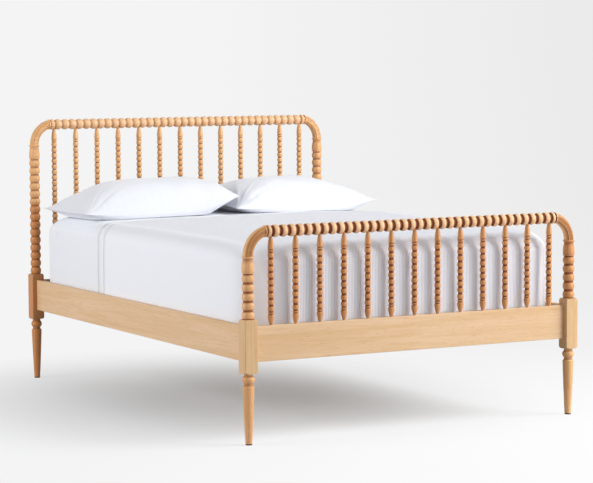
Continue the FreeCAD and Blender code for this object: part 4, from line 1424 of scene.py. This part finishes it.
@dataclass
class Bedding:
    """Mattress, fitted sheet, top sheet and coverlet."""

    form: BedForm
    fitted_hem: float = 377.0 * MM
    hem: float = 400.0 * MM
    coverlet_edge: float = 312.0 * MM
    top_sheet_edge: float = 374.0 * MM
    lower_edge: float = 16.0 * MM

    def build_mattress(self, finishes: Materials) -> None:
        """The mattress: the same form, with a rounded lower edge, closed below.

        Args:
            finishes: every material by its short name.
        """
        form, round_edge = self.form, self.lower_edge
        inset, level, _ = form.profile(form.bottom + round_edge, 0.0)
        turn = np.linspace(0, QUARTER, 6)[:-1]
        inset = np.concatenate([[form.half_x - MM, form.half_x * 0.5],
                                round_edge * (1 - np.sin(turn)), inset])
        level = np.concatenate([[form.bottom] * 2,
                                form.bottom + round_edge * (1 - np.cos(turn)), level])
        plan, _ = form.loop(inset, 0.0, None)
        points, share = form.lay(plan, level)
        flow = np.stack([points[..., 0], points[..., 1] + points[..., 2]], -1).reshape(-1, 2)
        points[..., 2] += form.settle(points) * share
        quads = grid(*plan.shape[:2], round_columns=True)
        patch = Patch(points.reshape(-1, 3), quads, NO_FACES, flow).outward()
        piece = patch.to_object("mattress_core", finishes["ticking"], 60.0)
        merge_close(piece)
        place_piece(piece, "mattress", "ticking", "mattress")

    def build_layer(self, name: str, node: str, slot: str, finish: Material, swell: float,
                    gauge: float, hem: float, edge: float | None, held: str,
                    rests_on: list[str]) -> None:
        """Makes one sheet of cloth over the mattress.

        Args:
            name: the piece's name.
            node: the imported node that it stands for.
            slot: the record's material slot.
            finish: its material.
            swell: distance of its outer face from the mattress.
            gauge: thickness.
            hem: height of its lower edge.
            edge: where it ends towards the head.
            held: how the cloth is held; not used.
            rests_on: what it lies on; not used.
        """
        patch = self.form.layer(hem, swell, edge)
        piece = patch.to_object(name, finish, ALL_SMOOTH)
        merge_close(piece)
        thicken(piece, gauge)
        place_piece(piece, "mattress", slot, node)

    def build(self, finishes: Materials) -> None:
        """Makes the mattress and the three layers.

        Args:
            finishes: every material by its short name.
        """
        self.build_mattress(finishes)
        for row in (
                ("fitted_sheet_cotton", "fitted_sheet", "sheeting", finishes["sheeting"],
                 1.5 * MM, 1.0 * MM, self.fitted_hem, None, "stretched", ["mattress_core"]),
                ("top_sheet_cotton", "top_sheet", "sheeting", finishes["sheeting"],
                 3.2 * MM, 1.0 * MM, self.hem, self.top_sheet_edge, "laid",
                 ["fitted_sheet_cotton"]),
                ("coverlet_cotton", "coverlet", "coverlet", finishes["coverlet"],
                 6.6 * MM, 2.4 * MM, self.hem, self.coverlet_edge, "laid",
                 ["top_sheet_cotton"])):
            self.build_layer(*row)


@dataclass
class Pillow:
    """A soft pillow: two crowned faces that meet in a seam, its long sides drawn in.

    The lifts raise the front left, front right, back left and back right corner, in mm; the
    slack values say how full it is towards its left and right side. The folds are a soft sag,
    rays from the corners, each a share, a count and a shift, and gathers along the seams, each a
    sway, the turns of that sway in a metre and a fade in metres: first the long seams, then the
    short ones. Each fall is the power of the distance from the middle and the power of what is
    left; the upper face has its fall across the pillow from the slack and the fullness.
    """

    side: Side
    form: BedForm
    left: float
    right: float
    lifts: tuple[float, float, float, float]
    slack: tuple[float, float] = (2.5, 4.0)
    front: float = 441.0 * MM
    back: float = 911.0 * MM
    crown: float = 138.0 * MM
    waist: float = 12.0 * MM
    belly: float = 90.0 * MM
    edge_height: float = 18.0 * MM
    corner_turn: float = 0.45
    sag: float = 3.0 * MM
    sag_length: float = 0.13
    ray: float = 3.2 * MM
    rays: tuple[tuple[float, int, int], ...] = ((0.8, 11, 1), (0.7, 19, 2), (0.4, 34, 3))
    ray_start: float = 0.10
    ray_fade: float = 0.17
    gather: float = 1.5 * MM
    gathers: tuple[tuple[float, int, float], ...] = ((1.7, 31, 0.032), (1.9, 37, 0.05))
    gather_turns: int = 150
    sag_seed: int = 11
    ray_power: float = 1.5
    fold_rise: int = 3
    fullness: float = 2.4
    front_fall: tuple[int, float] = (3, 0.6)
    under_fall: tuple[float, float] = (2.5, 1.3)
    bed_gap: float = 3.0 * MM
    least_gap: float = 1.0 * MM
    rows: int = 97
    columns: int = 137
    seam_reach: float = 0.02 * MM

    @property
    def half(self) -> tuple[float, float]:
        """Half of its width and half of its depth."""
        return (self.right - self.left) / 2, (self.back - self.front) / 2

    def seam_lift(self, u: np.ndarray, v: np.ndarray) -> np.ndarray:
        """How far the seam is lifted: towards each short side by the cube of u, shared between
        its front and back corner by v, with the corners themselves turned up a little more.

        Args:
            u: places across the pillow, -1 to 1.
            v: places from its front to its back.

        Returns:
            One height for each place.
        """
        front_left, front_right, back_left, back_right = (lift * MM for lift in self.lifts)
        back = (1 + v) / 2
        left = front_left * (1 - back) + back_left * back
        right = front_right * (1 - back) + back_right * back
        ends = np.where(u < 0, left, right) * np.abs(u) ** 3
        return ends * (1 - self.corner_turn + self.corner_turn * np.abs(v) ** 2)

    def creases(self, u: np.ndarray, v: np.ndarray, full: np.ndarray) -> np.ndarray:
        """Fine folds: rays from the four corners that fade away from them, short gathers along
        the seams, and a soft unevenness over the whole face.

        Args:
            u: places across the pillow, -1 to 1.
            v: places from its front to its back.
            full: how full the pillow is there.

        Returns:
            One height for each place.
        """
        half_x, half_y = self.half
        folds = self.sag * ripple(np.stack([u * half_x, v * half_y], -1), self.sag_length,
                                  self.sag_seed + self.side.value)
        for corner_u, corner_v in ((-1, -1), (1, -1), (-1, 1), (1, 1)):
            away_u, away_v = (u - corner_u) * half_x, (v - corner_v) * half_y
            angle = np.arctan2(away_v * corner_v, away_u * corner_u)
            away = np.hypot(away_u, away_v)
            phase = 2 * corner_u + corner_v + self.side.value
            rays = sum(share * np.sin(count * angle + shift * phase)
                       for share, count, shift in self.rays)
            start = np.minimum(1, away / self.ray_start) ** self.ray_power
            folds = folds + self.ray * rays * (np.exp(-away / self.ray_fade) * start)
        seams = ((u * half_x, (1 - np.abs(v)) * half_y), (v * half_y, (1 - np.abs(u)) * half_x))
        gathers = sum(np.sin(place * self.gather_turns + sway * np.sin(place * turns))
                      * np.exp(-inside / fade)
                      for (place, inside), (sway, turns, fade) in zip(seams, self.gathers))
        return (folds + self.gather * gathers) * np.minimum(1, self.fold_rise * full)

    def faces(self) -> tuple[np.ndarray, np.ndarray]:
        """Both faces over a square of u and v from -1 to 1.

        The plan is the square scaled to the pillow, with each long side drawn in most at its
        middle. The seam lies an edge height above the bed plus its lift. The upper face stands
        off the seam by the crown times (1-|u|^p)^(fullness/p) and the fall towards the front
        and back, where p is the slack of that short side; the lower face hangs from the seam to
        the bed, less towards the short sides.

        Returns:
            The points of the upper and of the lower face, by row and column.
        """
        v, u = np.meshgrid(*(np.sin(np.linspace(-1, 1, count) * QUARTER)
                             for count in (self.rows, self.columns)), indexing="ij")
        half_x, half_y = self.half
        x = (self.left + self.right) / 2 + u * (half_x - self.waist * (1 - v ** 2))
        y = (self.front + self.back) / 2 + v * (half_y - self.waist * (1 - u ** 2))
        ground = self.form.height + self.form.rise(x, y) + self.bed_gap
        seam = ground + self.edge_height + self.seam_lift(u, v)
        power = np.where(u < 0, self.slack[0], self.slack[1])
        along, under = (np.maximum(1 - np.abs(place) ** inner, 0) ** outer
                        for place, (inner, outer) in ((v, self.front_fall), (u, self.under_fall)))
        full = np.maximum(1 - np.abs(u) ** power, 0) ** (self.fullness / power) * along
        upper = seam + self.crown * full + self.creases(u, v, full)
        lower = np.maximum(seam - self.belly * (under * along), ground + self.least_gap)
        return np.stack([x, y, upper], -1), np.stack([x, y, lower], -1)

    def build(self, finishes: Materials) -> None:
        """Makes the pillow, its faces joined along the seam.

        Args:
            finishes: every material by its short name.
        """
        upper, lower = self.faces()
        quads = grid(self.rows, self.columns)
        points = np.concatenate([upper.reshape(-1, 3), lower.reshape(-1, 3)])
        quads = np.concatenate([quads, quads[:, ::-1] + self.rows * self.columns])
        patch = Patch(points, quads, NO_FACES, points[:, :2].copy()).outward()
        piece = patch.to_object(f"soft_pillow_{self.side.word}", finishes["pillowcase"],
                                ALL_SMOOTH)
        merge_close(piece, self.seam_reach)
        place_piece(piece, f"pillow_{self.side.word}", "pillowcase", f"pillow_{self.side.word}")


# ---- studio ----


@dataclass(frozen=True)
class Lamp:
    """A square soft lamp that shines at the middle of the bed.

    It stands a distance away in a direction, is a width across, and has a power in watts.
    """

    name: str
    towards: tuple[float, float, float]
    distance: float
    width: float
    power: float
    aim_height: float = 0.4

    def build(self) -> None:
        """Makes and places the lamp."""
        data = bpy.data.lights.new(self.name, "AREA")
        data.size = self.width
        data.energy = self.power
        way = np.array(self.towards, float)
        way /= np.linalg.norm(way)
        side = np.cross([0, 0, 1.0], way)
        side /= np.linalg.norm(side)
        eye = way * self.distance + [0, 0, self.aim_height]
        stand(self.name, data, side, np.cross(way, side), way, eye)


def stand(name: str, data: bpy.types.ID, right: np.ndarray, up: np.ndarray, back: np.ndarray,
          eye: np.ndarray) -> Object:
    """Places a camera or a lamp.

    Args:
        name: its name.
        data: the camera's or the lamp's own data.
        right: the direction on its right hand.
        up: the direction over its head.
        back: the direction behind it.
        eye: where it stands.

    Returns:
        The new object, linked to the scene.
    """
    made = bpy.data.objects.new(name, data)
    place = np.eye(4)
    place[:3] = np.stack([right, up, back, eye], 1)
    made.matrix_world = Matrix(place.tolist())
    bpy.context.scene.collection.objects.link(made)
    return made


@dataclass
class Studio:
    """Pale floor that curves up into a wall, soft light and the photograph's camera.

    Lengths are in metres and angles in degrees. Seen directly, floor and wall glow with the
    backing's plain tones, dimmed behind the bed on the right and brighter before it, painted light
    and shade; around the shadow place the paper shows the bed's shadow, lifted by a least share
    of that glow, a painted light that grows with the distance. The spans say between which
    distances, aside and beyond, a tone comes in.
    """

    focal_px: float = 2269.7
    sensor_mm: float = 36.0
    yaw: float = 28.85
    pitch: float = 4.714
    roll: float = -0.225
    eye: tuple[float, float, float] = (-4.4592, -8.1768, 1.4044)
    ambient: float = 0.25
    near_edge: float = -40.0
    wall_foot: float = 9.0
    wall_bend: float = 5.0
    wall_top: float = 16.0
    half_width: float = 22.0
    paper: tuple[str, str] = ("#F0F2F6", "#EDEFF3")
    unlit_paper: str = "#BEBFC1"
    backing: str = "#F4F4F4"
    dimmed: str = "#E6E6E6"
    bright: str = "#FEFEFE"
    horizon: str = "#F3F3F3"
    dimmed_spans: tuple = ((-1.0, 4.6), (-0.5, 4.0))
    bright_spans: tuple = ((-0.8, 1.2), (1.5, -0.8))
    shadow_place: tuple[float, float, float] = (-0.3, 0.0, 0.0)
    shadow_span: tuple[float, float] = (0.15, 1.8)
    # share of the backing's glow that still lifts the bed's shadow at the shadow place: painted
    # light
    least_backing: float = 0.19
    lamps: tuple[Lamp, ...] = (
        Lamp("key_light", (0.66, -0.50, 0.58), 7.5, 3.8, 510.0),
        Lamp("front_light", (0.50, -0.86, 0.08), 7.5, 4.0, 255.0),
        Lamp("left_light", (-0.95, 0.10, 0.30), 6.0, 3.0, 208.0))

    def camera(self) -> None:
        """Stands the camera where the photograph was taken from."""
        yaw, pitch, roll = (math.radians(angle) for angle in (self.yaw, self.pitch, self.roll))
        ahead = np.array([math.sin(yaw) * math.cos(pitch), math.cos(yaw) * math.cos(pitch),
                          -math.sin(pitch)])
        level = np.array([math.cos(yaw), -math.sin(yaw), 0.0])
        above = np.cross(level, ahead)
        right = level * math.cos(roll) + above * math.sin(roll)
        up = above * math.cos(roll) - level * math.sin(roll)
        data = bpy.data.cameras.new("camera")
        data.sensor_width = self.sensor_mm
        data.lens = self.sensor_mm * self.focal_px / IMAGE_WIDTH
        data.clip_end = 100.0
        camera = stand("camera", data, right, up, -ahead, np.array(self.eye))
        bpy.context.scene.camera = camera

    def paper_finish(self, ahead: np.ndarray, right: np.ndarray) -> Material:
        """The studio paper: matt near the bed, with a painted glow that lifts the bed's shadow, and
        the backing's glowing tones further off.

        Args:
            ahead: the camera's direction over the floor.
            right: the direction on its right hand.

        Returns:
            The material.
        """
        material, tree = new_material("studio_paper")
        place = place_in(tree)
        seen = self.seen_directly(tree)
        tone = blend(tree, noise(tree, place, 0.3), *self.paper)
        paper = add(tree, "ShaderNodeBsdfPrincipled", {
            "Base Color": blend(tree, seen, self.unlit_paper, tone), "Roughness": 0.9,
            "Specular IOR Level": 0.1})
        away = add(tree, "ShaderNodeVectorMath", {0: place, 1: self.shadow_place},
                   operation="DISTANCE").outputs["Value"]
        # painted light: the backing's glow grows from the least share at the shadow place and lifts
        # the bed's shadow
        far = ramp(tree, away, *self.shadow_span, self.least_backing, 1.0, "SMOOTHSTEP")
        aside, beyond = (add(tree, "ShaderNodeVectorMath", {0: place, 1: (*way, 0.0)},
                             operation="DOT_PRODUCT").outputs["Value"] for way in (right, ahead))
        backing: Socket | str = self.backing
        for colour, (aside_span, beyond_span) in ((self.dimmed, self.dimmed_spans),
                                                  (self.bright, self.bright_spans)):
            share = times(tree, ramp(tree, aside, *aside_span), ramp(tree, beyond, *beyond_span))
            backing = blend(tree, share, backing, colour)
        plain = add(tree, "ShaderNodeEmission", {"Color": backing, "Strength": 1.0})
        shade_with(tree, add(tree, "ShaderNodeMixShader", {
            0: times(tree, far, seen), 1: paper.outputs[0], 2: plain.outputs[0]}))
        return material

    def backdrop(self) -> None:
        """A floor that rises in a wide curve far behind the bed: level, then a quarter circle,
        then upright, carried sideways and turned to face the camera."""
        angle = np.linspace(0, 1, 60)[1:] * QUARTER
        level = np.stack([np.linspace(self.near_edge, self.wall_foot, 40), np.zeros(40)], 1)
        bend = np.stack([self.wall_foot + self.wall_bend * np.sin(angle),
                         self.wall_bend - self.wall_bend * np.cos(angle)], 1)
        wall = np.array([[self.wall_foot + self.wall_bend, self.wall_top]])
        line = np.concatenate([level, bend, wall])
        across = np.linspace(-self.half_width, self.half_width, 12)
        yaw = math.radians(self.yaw)
        ahead = np.array([math.sin(yaw), math.cos(yaw)])
        right = np.array([math.cos(yaw), -math.sin(yaw)])
        plan = line[:, None, :1] * ahead + across[None, :, None] * right
        height = np.broadcast_to(line[:, None, 1:], plan.shape[:2] + (1,))
        points = np.concatenate([plan, height], -1).reshape(-1, 3)
        patch = Patch(points, grid(len(line), len(across))[:, ::-1], NO_FACES)
        material = self.paper_finish(ahead, right)
        patch.to_object("studio_floor", material, 180.0)

    def seen_directly(self, tree: Tree) -> Socket:
        """One for rays that show a thing itself, straight or in gloss or glass, else zero.

        Args:
            tree: the material's or the world's nodes.

        Returns:
            The socket that gives it.
        """
        path = add(tree, "ShaderNodeLightPath").outputs
        shown = maths(tree, "MAXIMUM", path["Is Camera Ray"], path["Is Glossy Ray"])
        return maths(tree, "MAXIMUM", shown, path["Is Transmission Ray"])

    def world(self) -> None:
        """Even light from all round, seen as a plain pale grey."""
        world = bpy.data.worlds.new("studio")
        world.use_nodes = True
        tree = world.node_tree
        tree.nodes.clear()
        light, seen = (add(tree, "ShaderNodeBackground", {"Color": linear(code), "Strength": power})
                       for code, power in (("#FFFFFF", self.ambient), (self.horizon, 1.0)))
        mixed = add(tree, "ShaderNodeMixShader", {
            0: self.seen_directly(tree), 1: light.outputs[0], 2: seen.outputs[0]})
        add(tree, "ShaderNodeOutputWorld", {"Surface": mixed.outputs[0]})
        bpy.context.scene.world = world

    def build(self) -> None:
        """Sets up camera, floor and lights."""
        self.camera()
        self.backdrop()
        self.world()
        for lamp in self.lamps:
            lamp.build()
        bpy.context.scene.view_settings.view_transform = "Standard"


def main() -> None:
    """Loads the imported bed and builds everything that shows."""
    logging.basicConfig(level=logging.INFO, format="%(message)s")
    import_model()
    finishes = {word: finish.build() for word, finish in FINISHES.items()}
    posts = Posts()
    elbows = Elbows(posts)
    rails = TopRails(posts, elbows)
    form = BedForm()
    left = Pillow(Side.LEFT, form, -706 * MM, 12 * MM, (16.0, 62.0, 34.0, 116.0))
    right = Pillow(Side.RIGHT, form, 0 * MM, 708 * MM, (5.0, 38.0, 60.0, 34.0), (3.2, 2.5),
                   crown=130 * MM)
    for part in (posts, elbows, rails, Spindles(rails), PlainTimber(), Bedding(form), left, right):
        part.build(finishes)
    Studio().build()


if __name__ == "__main__":
    main()
